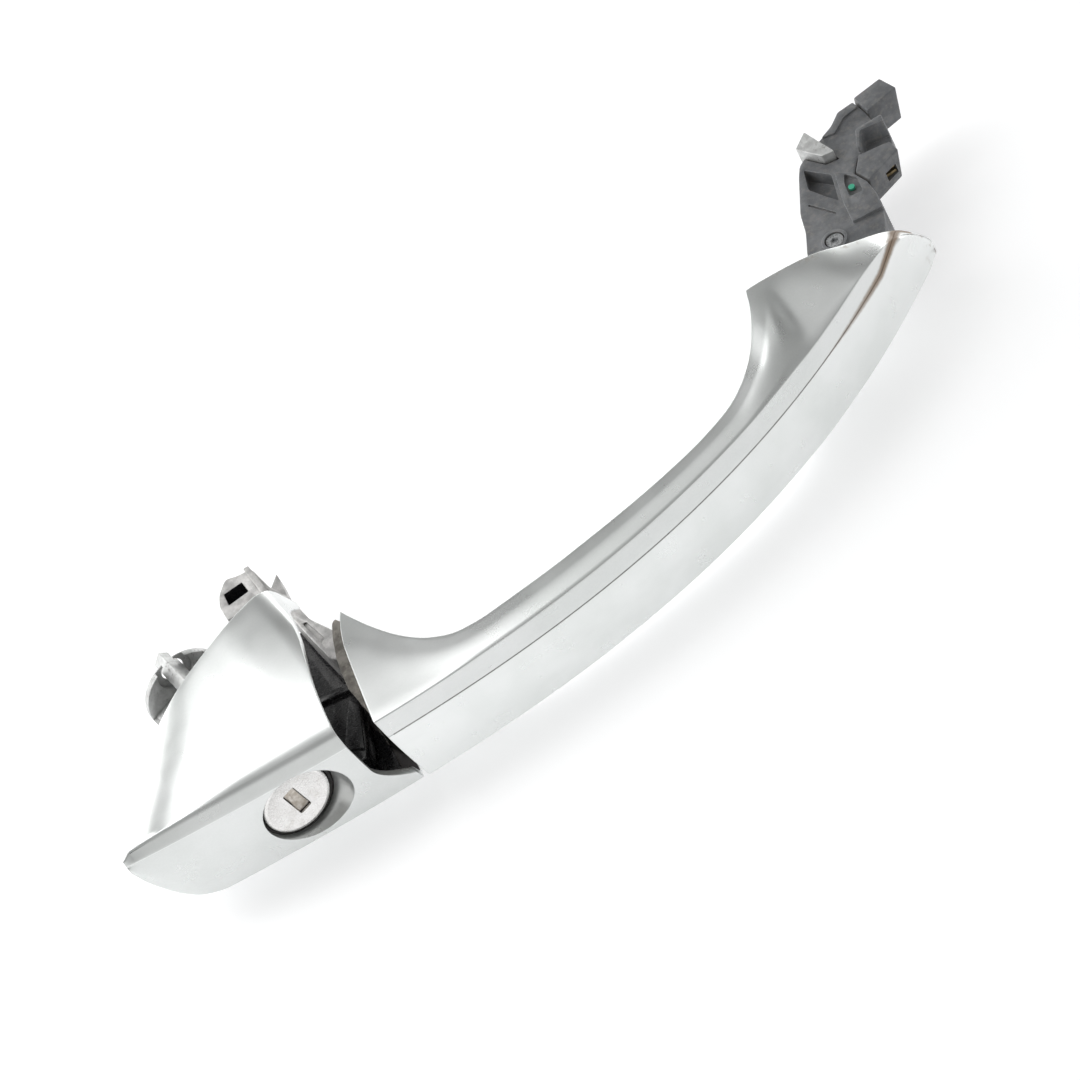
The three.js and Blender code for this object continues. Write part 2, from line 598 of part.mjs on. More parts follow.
function lockCap() {
  const endTool = wallTool(capEndX, 90, [-70, 40], [-40, 40]);
  const shell = toSolid(capSolid(0, CAP_TIP_X)).subtract(toSolid(rimTool(0))).subtract(toSolid(endTool));
  const hollow = toSolid(capSolid(CAP_WALL, -37.5));
  const collar = toSolid(toLockPlace(turned([[0, 0.2], [13.4, 0.2], [13.4, 5], [0, 5]], 48)));
  const collarInside = collar.intersect(toSolid(capSolid(0.6, -37.5)));
  const bore = toSolid(toLockPlace(turned([[0, 0.9], [11.6, 0.9], [11.6, 8], [0, 8]], 48)));
  return shell.subtract(hollow).add(collarInside).subtract(toSolid(scoopTool())).subtract(bore);
}

function capFrame() {
  const endTool = wallTool((y, z) => capEndX(y, z) - 1.2, 90, [-70, 40], [-40, 40]);
  const backTool = wallTool((y, z) => capEndX(y, z) - 5.2, -60, [-70, 40], [-40, 40]);
  const plate = toSolid(capSolid(CAP_WALL + 0.35, -37.5)).subtract(toSolid(rimTool(-2)))
    .subtract(toSolid(endTool)).subtract(toSolid(backTool));
  const armWindow = box(8, 40, -11, 40, -5.8, 7);
  const ledge = box(13.6, 17.4, -24, -21, -12, 12);
  return plate.add(toSolid(ledge)).add(gapWeb()).subtract(toSolid(armWindow));
}

// Web of the frame that reaches under the rear end of the grip and closes the gap from below.
function gapWeb() {
  const reach = (y, z) => Math.min(GAP_WEB.x1, gripEndX(y, z) - insertProud(y, z) - 2 * FIT_GAP);
  const beyond = wallTool(reach, 90, [-70, 40], [-40, 40]);
  const block = toSolid(box(GAP_WEB.x0, 40, GAP_WEB.y0, GAP_WEB.y1, -25, GAP_WEB.top));
  return toSolid(capSolid(CAP_WALL + 0.35, -37.5)).intersect(block).subtract(toSolid(beyond));
}

// ---- latch arm ---------------------------------------------------------------
function latchArm() {
  const arm = slab(ARM_OUTLINE, -ARM_HALF, ARM_HALF, 0.5);
  const ridge = slab([[24.9, 25.5], [24.9, 40.6], [26.5, 40.4], [26.5, 25.5]], 4, 6.4);
  const wing = slab([[26.9, 30.6], [31.2, 34.6], [29.8, 25], [27.4, 21]], -2, 3.4);
  const window = slab([[16.2, 34.2], [16.9, 38.8], [22.6, 38.6], [22.6, 34.2]], -2, 8);
  return join(arm, ridge, wing).subtract(toSolid(window));
}

// ---- hinge foot --------------------------------------------------------------
const shellSeat = ({ outline, low, top, drift }) => toSolid(
  connectorShell(grown(outline, FIT_GAP), low - FIT_GAP, top + FIT_GAP, drift));

function hingeFoot() {
  const plate = slab(FOOT_OUTLINE, FOOT_LOW, FOOT_TOP, 0.5);
  const lug = slab([[221.6, 32], [225.2, 38.4], [233.2, 37.4], [230.4, 30.4]], -5, 7, 0.4);
  const lugPocket = slab([[223.4, 30], [224.6, 34.4], [230.8, 33.4], [230, 29]], 0.5, 5.6);
  const deck = slab([[212.9, 30.5], [208.8, 19.9], [206.4, 11], [215, 9.2], [216.5, 15], [217.1, 20],
    [216.1, 26.3]], 4, 6.2, 0.3);
  const spine = slab([[217.6, 44.8], [221.6, 46.2], [225.8, 49.2], [230.7, 49], [230.7, 46.6], [226, 46.4],
    [221, 43.4]], 4, 5.8, 0.2);
  const boss = new THREE.CylinderGeometry(3.6, 3.6, 7, 28);
  boss.rotateX(Math.PI / 2);
  boss.translate(FOOT_SCREW.x, FOOT_SCREW.y, 2.2);
  const bossHole = new THREE.CylinderGeometry(2.8, 2.8, 12, 24);
  bossHole.rotateX(Math.PI / 2);
  bossHole.translate(FOOT_SCREW.x, FOOT_SCREW.y, 3);
  const pocket = slab([[204.8, 32], [207.8, 39.4], [212.2, 31.6], [208.4, 21.8], [206.6, 26.4]], 0.6, 9);
  const arch = slab([[214.4, 27.8], [216, 23.8], [214.6, 18], [210.8, 19.4], [212.6, 25]], 5, 9);
  const groove = slab([[201.4, 27], [202, 27.4], [205.6, 18.6], [205, 18.2]], 4.4, 9);
  const hollow = slab([[206, 8], [199.6, -3], [192, -5], [194, 8.5], [197, 9.4]], -12, -3.5);
  const hookSeat = toSolid(slab(grown(HOOK_FINGER, FIT_GAP), 3 - FIT_GAP, 12))
    .add(toSolid(slab(grown(HOOK_SHANK, FIT_GAP), -2 - FIT_GAP, 12)));
  return join(plate, lug, deck, spine, boss).subtract(toSolid(pocket)).subtract(toSolid(bossHole))
    .subtract(toSolid(lugPocket)).subtract(toSolid(arch)).subtract(toSolid(groove))
    .subtract(toSolid(hollow)).subtract(hookSeat).subtract(shellSeat(SHELL_A)).subtract(shellSeat(SHELL_B));
}

function footHook() {
  return join(slab(HOOK_FINGER, 3, 8.2, 0.4), slab(HOOK_SHANK, -2, 4));
}

// Connector shell: top outline carried down to zLow while drifting by `drift` in x.
function connectorShell(outline, zLow, zTop, drift) {
  const rim = 0.5;
  const at = (z, shrink) => grown(outline, -shrink)
    .map(([x, y]) => [x + (drift * (zTop - z)) / (zTop - zLow), y, z]);
  return loft([at(zLow, rim), at(zLow + rim, 0), at(zTop - rim, 0), at(zTop, rim)]);
}

function connectorA() {
  const mouth = box(232.6, 244, 44.2, 48.8, -2.8, 4.2);
  return cut(connectorShell(SHELL_A.outline, SHELL_A.low, SHELL_A.top, SHELL_A.drift), mouth);
}

function connectorB() {
  const mouth = slab([[222.4, 18], [222.4, 24.6], [227.4, 25.4], [227.4, 18]], -1.2, 3.4);
  return cut(connectorShell(SHELL_B.outline, SHELL_B.low, SHELL_B.top, SHELL_B.drift), mouth);
}

function contactPins(x0, x1, ys, zs, size) {
  const pins = [];
  for (const y of ys) {
    for (const z of zs) pins.push(box(x0, x1, y - size / 2, y + size / 2, z - size / 2, z + size / 2));
  }
  return pins;
}

// ---- pieces inside the grip ----------------------------------------------------
function antennaModule() {
  const xs = spread(66, 108, 6);
  return loft(xs.map((x) => {
    const far = along(FINGER_Y, x) - BODY_WALL - 0.3;
    return [[x, far - 4, -6.6], [x, far, -6.6], [x, far, 3.8], [x, far - 4, 3.8]];
  }));
}

function sensorBoard() {
  const xs = spread(111, 135, 4);
  return loft(xs.map((x) => {
    const far = along(FINGER_Y, x) - BODY_WALL - 0.9;
    return [[x, far - 1.5, -6.4], [x, far, -6.4], [x, far, 3.6], [x, far - 1.5, 3.6]];
  }));
}

function sensorStrip() {
  const xs = spread(66, 135, 8);
  return loft(xs.map((x) => {
    const near = bowY(x) + (COVER_WALL + SEAM_GAP) * Math.hypot(1, slopeOf(bowY, x)) + 0.1;
    return [[x, near, -5], [x, near + 0.4, -5], [x, near + 0.4, 1.6], [x, near, 1.6]];
  }));
}

function screw(x, y, z, length, headR) {
  const head = new THREE.CylinderGeometry(headR, headR, 1.6, 24);
  const shank = new THREE.CylinderGeometry(headR * 0.5, headR * 0.5, length, 14);
  head.rotateX(Math.PI / 2);
  shank.rotateX(Math.PI / 2);
  head.translate(x, y, z);
  shank.translate(x, y, z - length / 2);
  const socket = new THREE.CylinderGeometry(headR * 0.48, headR * 0.48, 1.8, 6);
  socket.rotateX(Math.PI / 2);
  socket.translate(x, y, z + 0.8);
  return join(head, shank).subtract(toSolid(socket));
}

function sealPlug() {
  const plug = new THREE.CylinderGeometry(0.9, 0.9, 0.8, 20);
  plug.rotateX(Math.PI / 2);
  plug.translate(213.2, 22.2, 5.7);
  return plug;
}

// ---- assembly ------------------------------------------------------------------
const handle = new THREE.Group();
handle.name = 'car_door_handle';

function addPiece(name, source, look) {
  const raw = source instanceof THREE.BufferGeometry ? outward(welded(source)) : toGeometry(source);
  raw.translate(-ORIGIN_X, 0, 0);
  raw.computeVertexNormals();
  const mesh = new THREE.Mesh(raw, new THREE.MeshStandardMaterial(look));
  mesh.name = name;
  handle.add(mesh);
}

function lockPiece(name, source, look) {
  const g = source instanceof THREE.BufferGeometry ? source : toGeometry(source);
  addPiece(name, toLockPlace(g), look);
}

const shells = gripShells();
addPiece('grip_outer_cover', shells.cover, PAINT);
addPiece('grip_inner_body', shells.body, PAINT);
addPiece('grip_end_insert', shells.insert, END_PLASTIC);
addPiece('lock_cap', lockCap(), PAINT);
addPiece('cap_inner_frame', capFrame(), BLACK_GLOSS);
lockPiece('lock_face', plugFace(), FACE_STEEL);
lockPiece('lock_plug', plugBody(), DIE_CAST);
lockPiece('key_shutter', keyShutter(), STEEL);
lockPiece('lock_seal_ring', sealRing(), RUBBER);
lockPiece('lock_housing', lockHousing(), DIE_CAST);
lockPiece('housing_screw', housingScrew(), STEEL);
lockPiece('plug_retaining_clip', retainingClip(), STEEL);
lockPiece('tail_driver', tailDriver(), DIE_CAST);
addPiece('latch_arm', latchArm(), DIE_CAST);
addPiece('hinge_foot', hingeFoot(), DARK_PLASTIC);
addPiece('foot_hook', footHook(), DIE_CAST);
addPiece('connector_a', connectorA(), DARK_PLASTIC);
addPiece('connector_b', connectorB(), DARK_PLASTIC);
contactPins(232.9, 237.4, [46.5], [-1.6, 0.7, 3], 0.9).forEach((g, i) => {
  addPiece(`pin_a_${i + 1}`, g, COPPER);
});
contactPins(223.4, 226.6, [24], [0.1, 2.1], 0.9).forEach((g, i) => {
  addPiece(`pin_b_${i + 1}`, g, COPPER);
});
addPiece('foot_screw', screw(FOOT_SCREW.x, FOOT_SCREW.y, 4.6, 5, 2.4), STEEL);
addPiece('seal_plug_green', sealPlug(), GREEN);
addPiece('antenna_module', antennaModule(), POTTING);
addPiece('sensor_board', sensorBoard(), BOARD);
addPiece('sensor_strip', sensorStrip(), COPPER);

export default handle;
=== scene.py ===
"""Looks of an exterior pull-type car door handle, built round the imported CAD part.

Lengths are in millimetres and turned into metres by MM, apart from the light and the floor, which are in
metres. Shapes are drawn with x counted from the lock's centre line; ORIGIN_X moves them into the row
frame, whose origin is on the front flange. Sections are lists of (y, z), one array over x per point.
"""

import math

import bmesh
import bpy
import numpy as np
from mathutils import Matrix, Vector
from mathutils.kdtree import KDTree


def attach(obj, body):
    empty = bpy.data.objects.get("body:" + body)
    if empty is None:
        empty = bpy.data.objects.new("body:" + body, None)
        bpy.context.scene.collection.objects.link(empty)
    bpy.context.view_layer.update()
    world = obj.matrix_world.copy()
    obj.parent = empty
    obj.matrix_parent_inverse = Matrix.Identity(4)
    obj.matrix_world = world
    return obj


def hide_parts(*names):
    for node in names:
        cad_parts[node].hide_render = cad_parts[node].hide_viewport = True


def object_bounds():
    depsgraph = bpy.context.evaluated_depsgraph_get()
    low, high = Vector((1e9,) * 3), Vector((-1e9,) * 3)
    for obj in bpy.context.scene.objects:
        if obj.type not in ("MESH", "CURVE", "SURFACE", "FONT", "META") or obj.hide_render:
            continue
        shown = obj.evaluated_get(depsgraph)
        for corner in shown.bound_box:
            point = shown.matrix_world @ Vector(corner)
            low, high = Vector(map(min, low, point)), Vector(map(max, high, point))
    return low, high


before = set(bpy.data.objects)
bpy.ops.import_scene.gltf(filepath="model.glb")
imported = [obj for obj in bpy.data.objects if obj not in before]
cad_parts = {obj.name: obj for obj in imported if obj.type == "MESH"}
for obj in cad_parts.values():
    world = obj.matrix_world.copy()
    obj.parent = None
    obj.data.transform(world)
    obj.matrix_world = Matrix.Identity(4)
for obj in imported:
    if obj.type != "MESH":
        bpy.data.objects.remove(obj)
cad_low, cad_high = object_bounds()

# ---- driving dimensions (mm) ----
MM = 0.001
ORIGIN_X = 173.5

BOW = {"mid": 99.0, "half": 110.0, "a": -43.7, "b": 9.4, "c": 22.6, "d": 5.0}
FACE_BULGE = 0.5
LOW_EDGE_R = 4.0

GRIP_SEAM_Z = [(20, 6.4), (221.2, 6.2)]
# Share of the way over the top, edge first, at which the seam leaves the outer face near the tip.
SEAM_CLIMB = [(20, 0), (200, 0), (205, 0.1), (209.5, 0.3), (214.8, 1.25), (240, 1.25)]
GRIP_EDGE_Z = [(20, 12.6), (192, 12), (205, 10.2), (212, 6.5), (217, 0.5), (221.2, -7)]
GRIP_TOP_Z = [(20, 15.4), (46, 13.6), (145, 13.6), (158, 15.6), (170, 19.2), (180, 18), (190, 15.8),
              (200, 11.2), (209, 7), (215, 2.5), (219, -3), (221.2, -7)]
GRIP_LOW_Z = [(20, -13.3), (195, -13.3), (208, -13), (216, -12.3), (221.2, -9.6)]
GRIP_BOTTOM_Z = [(20, -15.4), (46, -13.8), (145, -13.8), (158, -15.6), (170, -19.2), (185, -18),
                 (200, -15.6), (212, -13.4), (221.2, -9.8)]
FINGER_Y = [(20, 30), (33, 9), (36.2, 1.5), (41, -12), (46, -21.8), (51, -27.8), (58, -32), (66, -33.2),
            (83, -33.4), (98, -32.8), (114, -31.6), (131, -29.2), (143, -26), (152, -21.8), (160, -15.2),
            (166, -7.6), (170.6, 1.5), (176, 14), (240, 14)]
GRIP_TIP_X = 220.4
TIP_FILL = {"from": 208.0, "over": 12.0, "by": 0.9}
GRIP_END = {"x": 28.4, "slope": 0.17, "lean": 0.18, "flare": 2.6}
COVER_WRAP = 3.4
COVER_WALL = 1.9
BODY_WALL = 1.7
CAP_WALL = 1.8
PIECE_GAP = 0.3
EDGE_R = 0.45
RIM_R = 0.3
HAIR = 0.002  # keeps the points that wait beside the seam apart
SEAM_GAP = 0.16
GRIP_ROW_COUNT = 300
# End insert: its wall, its inset from the grip's outline, and (depth, shrink) of its rings.
INSERT_WALL = 3.6
INSERT_INSET = 2.05
INSERT_RINGS = [(INSERT_WALL, 0.0), (2.0, 0.0), (0.6, 0.0), (0.25, 0.2), (0.0, 0.55)]

CAP_TIP_X = -44.1
CAP_CREASE_Z = [(-44.2, 11.2), (-38, 11), (36, 10.9)]
CAP_STRIP_Z = [(-44.2, 12.8), (-41, 14.4), (-30, 14.8), (36, 15.2)]
CAP_LOW_Z = [(-44.2, 9.4), (-43, 4.5), (-40.3, -1.6), (-36.2, -8), (-32, -11.6), (-26, -13.2), (36, -13.3)]
CAP_RIM_TOP_Z = [(-44.2, 9.8), (-42.6, 1), (-36.5, 5), (-27, 10.4), (-18, 15), (-8, 19), (3.7, 21),
                 (13, 21.8), (20.7, 21.5), (25.3, 19.8), (27.4, 16.6), (29.2, 11.4), (31, 7.5), (36, 5)]
CAP_RIM_LOW_Z = [(-44.2, 9.2), (-42.6, -4), (-36.5, -9.6), (-27, -13.6), (-18, -16.6), (-8, -19.4),
                 (3.7, -21), (13, -21.2), (19, -20.4), (24, -18), (28, -13.6), (36, -9)]
CAP_RIM_Y = [(-44.2, -25), (-43, -17), (-40.5, -8.5), (-36, -4), (-18, 1.3), (36, 17.5)]
CAP_END = {"x": 17.3, "slope": 0.2, "curve": 0.0008, "y": -38, "z": 15, "lean": 0.17, "drop": 0.09,
           "round": 0.014, "swell": 0.0012}
SPLIT_GAP = 1.3
# Black inner frame: its inset from the cap, its wall, how far it stays behind the cap's end, and which
# last share of the cap's length it takes up.
FRAME = {"inset": 2.3, "wall": 1.2, "behind": 4.0, "from": 0.82, "over": 0.18, "rows": 40}
WEB_OUTLINE = [(17, -30), (17, 23), (30, 21), (28.8, -2), (28, -12), (24, -24), (21, -30)]

LOCK_TURN = math.radians(4.6)
LOCK_FACE_Y = -34.2
LOCK_FACE_R = 9.6
KEY_SLOT = {"long": 8.8, "wide": 3.7, "turn": math.radians(11)}
SCOOP = {"x": 1.2, "z": 0.3, "rx": 11.7, "rz": 11.0}
COLLAR = {"x": 0.6, "z": -0.2, "rx": 14.6, "rz": 11.1, "skin": 1.1, "depth": 5.0}
LOCK_ROOM_R = 15.8
BARREL_R = 10.6
BARREL_END = 44.0
TAIL_SIDE = 4.1
TAIL_END = 72.0
CRADLE = {"r": 12.0, "z": -8.4, "back": 67.4, "wall": 2.4, "pocket_r": 5.2, "tilt": 0.25}

ARM_HALF = 4.6
ARM_OUTLINE = [(38, -15.4), (31.5, -9), (28.4, -4.5), (27.4, 8.4), (27, 20), (25.2, 28.4), (13.6, 29.8),
               (14, 36), (15.8, 39.8), (19.6, 43.4), (22.6, 41.8), (26.8, 40.8), (27.6, 31), (30, 23),
               (30.6, 12), (33.4, 4), (34.4, -5), (38.9, -10.8)]
FOOT_TOP = 5.0
FOOT_LOW = -7.0
FOOT_OUTLINE = [(187, -8.6), (189.6, 6), (191.8, 12.3), (195.8, 19.4), (198.4, 26.3), (205.6, 38.5),
                (207.8, 41.6), (212, 43.8), (217.1, 45.3), (221.3, 46.7), (225.5, 49.7), (231, 49.5),
                (231.2, 44), (230.6, 37), (227.6, 33), (220.6, 31.2), (216.4, 26.3), (217.4, 20),
                (216.8, 15), (215.3, 9.4), (214.1, 7.6), (211.4, 2.5), (206.4, -4.6)]
FOOT_SCREW = (199.6, 10.0)
SHELL_A = {"outline": [(231.7, 42.6), (231.7, 50), (240.6, 50.3), (241.8, 43.5)], "low": -4.4, "top": 6.0,
           "drift": -2.0}
SHELL_B = {"outline": [(218, 20.4), (217, 26), (221, 30.7), (229.4, 27.9), (229.4, 23.4)], "low": -3.0,
           "top": 6.0, "drift": -2.0}
HOOK_FINGER = [(209.6, 44.5), (214.8, 48.1), (216.6, 35.2), (213.3, 36.3)]
HOOK_SHANK = [(210.9, 41.5), (213.4, 42.6), (214.9, 38.4), (212.9, 37.6)]

# ---- camera (the viewing angle of the reference) ----
CAMERA_AT = (-189.41, -839.66, 810.45)
CAMERA_RIGHT = (0.80286, -0.47279, -0.36316)
CAMERA_UP = (0.58784, 0.52632, 0.61435)
CAMERA_BACK = (-0.09932, -0.70672, 0.70049)
CAMERA_LENS = 151.15
CAMERA_SHIFT = (-0.0474, 0.0032)


# ---- light and floor (metres) ----
# Grey levels of the sky against height, on the outer (-Y) side and on the door's (+Y) side.
SKY_OUTER = [(0.0, 0.95), (0.22, 0.95), (0.38, 0.3), (0.68, 0.3), (0.84, 0.4), (1.0, 0.4)]
SKY_DOOR = [(0.0, 3.0), (0.22, 3.0), (0.38, 0.15), (0.68, 0.15), (0.84, 0.8), (1.0, 0.8)]
# The cover's paint is paler than the body's by this factor: painted light standing in for the cover's
# brighter lighting.
COVER_PAINTED_LIGHT = 1.16
SKY_TINT = (0.995, 1.0, 0.99)
SKY_CHANGE = (-0.25, 0.2)
# Key light: panels at (x, power), all at the same y and z; each shines at a point a little further along x.
KEY_AT = (0.26, 0.52)
KEY_AIM = (0.12, 0.06, 0.0)
KEY_SIZE = (0.26, 0.55)
KEY_PANELS = [(-0.79, 0.85), (-0.53, 1.39), (-0.27, 0.72)]
FLOOR_GLOW = 0.40
FLOOR_HALF = 6.0
FLOOR_BELOW = 0.0002


# ---- number helpers ----
def track(stations, x, soften=0.0):
    """Monotone cubic through (x, value) stations, at x of any shape."""
    xs = np.array([s[0] for s in stations], float)
    vs = np.array([s[1] for s in stations], float)
    rise = np.diff(vs) / np.diff(xs)
    slope = np.concatenate([[rise[0]], np.zeros(len(xs) - 2), [rise[-1]]])
    for k in range(1, len(xs) - 1):
        if rise[k - 1] * rise[k] > 0:
            slope[k] = 2 * rise[k - 1] * rise[k] / (rise[k - 1] + rise[k])

    def at(q):
        q = np.clip(q, xs[0], xs[-1])
        i = np.clip(np.searchsorted(xs, q, side="right") - 1, 0, len(xs) - 2)
        h = xs[i + 1] - xs[i]
        t = (q - xs[i]) / h
        a = (2 * t**3 - 3 * t**2 + 1) * vs[i] + (t**3 - 2 * t**2 + t) * h * slope[i]
        return a + (3 * t**2 - 2 * t**3) * vs[i + 1] + (t**3 - t**2) * h * slope[i + 1]

    x = np.asarray(x, float)
    if soften <= 0:
        return at(x)
    offsets = np.array([-1.5, -1.0, -0.5, 0.0, 0.5, 1.0, 1.5]) * soften
    weights = np.array([1, 3, 6, 8, 6, 3, 1], float)
    return sum(w * at(x + o) for w, o in zip(weights / weights.sum(), offsets))


def bow_y(x):
    """The outer face: one bowed curve for cap and grip."""
    x = np.asarray(x, float)
    t = (x - BOW["mid"]) / BOW["half"]
    plain = BOW["a"] + BOW["b"] * t + BOW["c"] * t**2 + BOW["d"] * t**3
    return plain - TIP_FILL["by"] * np.clip((x - TIP_FILL["from"]) / TIP_FILL["over"], 0, 1.2) ** 2


def smooth_step(v, low, high):
    t = np.clip((v - low) / (high - low), 0, 1)
    return t * t * (3 - 2 * t)


def end_lean(y):
    """1 on the outer face, falling to 0 at the door skin."""
    return np.clip(-y / 42, 0, 1)


def grip_end_x(y, z):
    near_door = np.clip((y + 16) / 16, 0, 1)
    plain = GRIP_END["x"] + GRIP_END["slope"] * (y + 42) - GRIP_END["lean"] * z * end_lean(y)
    return plain + GRIP_END["flare"] * near_door**2


def cap_end_x(y, z):
    u = y - CAP_END["y"]
    low = np.maximum(0, -z)
    high = np.maximum(0, np.abs(z) - 8) * np.clip((y + 25) / 40, 0, 1)
    x = CAP_END["x"] + CAP_END["slope"] * u + CAP_END["curve"] * u * u - CAP_END["round"] * high**2
    x = x - CAP_END["lean"] * (z - CAP_END["z"]) * end_lean(y) + CAP_END["drop"] * low**2 * end_lean(y)
    x = x + CAP_END["swell"] * u * u * np.clip((6 - y) / 14, 0, 1)
    return np.minimum(x, grip_end_x(y, z) - SPLIT_GAP)


# ---- section helpers ----
def corner_points(before, corner, after, radius, count):
    """Rounded corner: a quadratic curve that starts and ends `radius` from the corner."""
    def toward(p):
        d = np.hypot(p[0] - corner[0], p[1] - corner[1]) + 1e-9
        k = np.minimum(radius, 0.48 * d) / d
        return corner[0] + (p[0] - corner[0]) * k, corner[1] + (p[1] - corner[1]) * k

    a = toward(before)
    b = toward(after)
    points = []
    for t in np.linspace(0, 1, count):
        ka, kc, kb = (1 - t) ** 2, 2 * t * (1 - t), t * t
        points.append((ka * a[0] + kc * corner[0] + kb * b[0], ka * a[1] + kc * corner[1] + kb * b[1]))
    return points


def between(p, q, count):
    """Points strictly between p and q."""
    shares = np.linspace(0, 1, count + 2)[1:-1]
    return [(p[0] + (q[0] - p[0]) * t, p[1] + (q[1] - p[1]) * t) for t in shares]


def face_points(face, z0, z1):
    """Slightly crowned outer face from z0 to z1, without its first point."""
    shares = np.linspace(0, 1, 24)[1:]
    return [(face - FACE_BULGE * np.sin(math.pi * t) ** 0.8, z0 + (z1 - z0) * t) for t in shares]


def thinned(rows, centre, amount):
    """Rows of points moved towards centre(x) = (y, z); amount(distance) is the share of the way they move."""
    x = rows[..., 0]
    cy, cz = centre(x)
    dy = cy - rows[..., 1]
    dz = cz - rows[..., 2]
    part = amount(np.hypot(dy, dz) + 1e-9)
    return np.stack([x, rows[..., 1] + dy * part, rows[..., 2] + dz * part], axis=-1)


def meet(xs, ys, zs, end_x, guess, rounds, step):
    """The x at which a line of a surface reaches the end surface end_x(y, z)."""
    x = guess
    for _ in range(rounds):
        x = x + step * (float(end_x(np.interp(x, xs, ys), np.interp(x, xs, zs))) - x)
    return x


def swept(section, xs, places, *search):
    """Rows of points along a shell; `places(x)` spreads them along a line whose end is at x."""
    lines = []
    for ys, zs in section(xs):
        ys = np.broadcast_to(ys, xs.shape)
        zs = np.broadcast_to(zs, xs.shape)
        line_x = places(meet(xs, ys, zs, *search))
        lines.append(np.stack([line_x, np.interp(line_x, xs, ys), np.interp(line_x, xs, zs)], axis=1))
    return np.stack(lines, axis=1)


# ---- mesh helpers ----
def link(mesh, name):
    obj = bpy.data.objects.new(name, mesh)
    bpy.context.scene.collection.objects.link(obj)
    return obj


def to_row(points):
    """Millimetres from the lock's line to metres in the row frame."""
    p = np.array(points, float).reshape(-1, 3)
    p[:, 0] -= ORIGIN_X
    return p * MM


def raw_object(name, points, faces):
    mesh = bpy.data.meshes.new(name)
    mesh.from_pydata([tuple(p) for p in to_row(points)], [], faces)
    mesh.update()
    return link(mesh, name)


def recalc(obj):
    bm = bmesh.new()
    bm.from_mesh(obj.data)
    bmesh.ops.remove_doubles(bm, verts=bm.verts, dist=1e-7)
    bmesh.ops.dissolve_degenerate(bm, dist=1e-7, edges=bm.edges)
    bmesh.ops.recalc_face_normals(bm, faces=bm.faces)
    bm.to_mesh(obj.data)
    bm.free()
    return obj


def bake(obj):
    """Applies every modifier."""
    graph = bpy.context.evaluated_depsgraph_get()
    baked = bpy.data.meshes.new_from_object(obj.evaluated_get(graph))
    obj.modifiers.clear()
    obj.data = baked
    return obj


def ring_solid(name, rings):
    """Closed solid through rings of points, with its end rings filled."""
    rings = np.array(rings, float)
    m, k = rings.shape[0], rings.shape[1]
    faces = []
    for start in range(0, (m - 1) * k, k):
        for j in range(k):
            a = start + j
            b = start + (j + 1) % k
            faces.append((a, b, b + k, a + k))
    faces.append(tuple(range(k))[::-1])
    faces.append(tuple((m - 1) * k + j for j in range(k)))
    return recalc(raw_object(name, rings.reshape(-1, 3), faces))


def extruded(name, low, high):
    """Closed solid between two rings of points."""
    n = len(low)
    faces = [tuple(range(n))[::-1], tuple(range(n, 2 * n))]
    faces += [(i, (i + 1) % n, n + (i + 1) % n, n + i) for i in range(n)]
    return recalc(raw_object(name, low + high, faces))


def band_solid(name, rows, centre, depth, share):
    """Wall of the given depth inside rows of points; its inner faces take the second material slot.

    `share(x)` is the largest part of the way to centre(x) that the wall may take up.
    """
    limit = share(rows[..., 0])
    inner = thinned(rows, centre, lambda reach: np.minimum(depth / reach, limit))
    m, k = rows.shape[0], rows.shape[1]
    base = m * k
    faces = []
    for i in range(m - 1):
        for j in range(k - 1):
            a = i * k + j
            faces.append((a, a + 1, a + k + 1, a + k))
            faces.append((base + a, base + a + k, base + a + k + 1, base + a + 1))
    for i in range(m - 1):
        for a in (i * k, i * k + k - 1):
            faces.append((a, a + k, base + a + k, base + a))
    for j in range(k - 1):
        for a in (j, (m - 1) * k + j):
            faces.append((a, a + 1, base + a + 1, base + a))
    points = np.concatenate([rows.reshape(-1, 3), inner.reshape(-1, 3)])
    obj = raw_object(name, points, faces)
    inside = np.zeros(len(faces), np.int32)
    inside[1:2 * (m - 1) * (k - 1):2] = 1
    obj.data.materials.append(None)
    obj.data.materials.append(None)
    obj.data.polygons.foreach_set("material_index", inside)
    return recalc(obj)


def add_bevel(obj, width, segments, angle):
    mod = obj.modifiers.new("edge", "BEVEL")
    mod.width = width * MM
    mod.segments = segments
    mod.limit_method = "ANGLE"
    mod.angle_limit = math.radians(angle)


def bevel(obj, width, segments=3, angle=35.0):
    add_bevel(obj, width, segments, angle)
    return bake(obj)


def combine(obj, other, operation):
    mod = obj.modifiers.new("b", "BOOLEAN")
    mod.operation = operation
    mod.solver = "EXACT"
    mod.object = other
    bake(obj)
    mesh = other.data
    bpy.data.objects.remove(other)
    bpy.data.meshes.remove(mesh)
    return obj


def cut(obj, *tools):
    for tool in tools:
        combine(obj, tool, "DIFFERENCE")
    return obj


def fuse(obj, *others):
    for other in others:
        combine(obj, other, "UNION")
    return obj


def gather(target, *others):
    """Adds closed shells to a piece without merging them."""
    mesh = bmesh.new()
    for obj in (target, *others):
        mesh.from_mesh(obj.data)
    mesh.to_mesh(target.data)
    mesh.free()
    for obj in others:
        bpy.data.objects.remove(obj)
    return target


def smooth(obj, angle=32.0):
    for polygon in obj.data.polygons:
        polygon.use_smooth = True
    obj.data.set_sharp_from_angle(angle=math.radians(angle))
    return obj


def rounded_outline(points, radius):
    """Plan outline with every corner rounded."""
    n = len(points)
    out = []
    for i, corner in enumerate(points):
        out += corner_points(points[i - 1], corner, points[(i + 1) % n], radius, 5)
    return [(float(x), float(y)) for x, y in out]


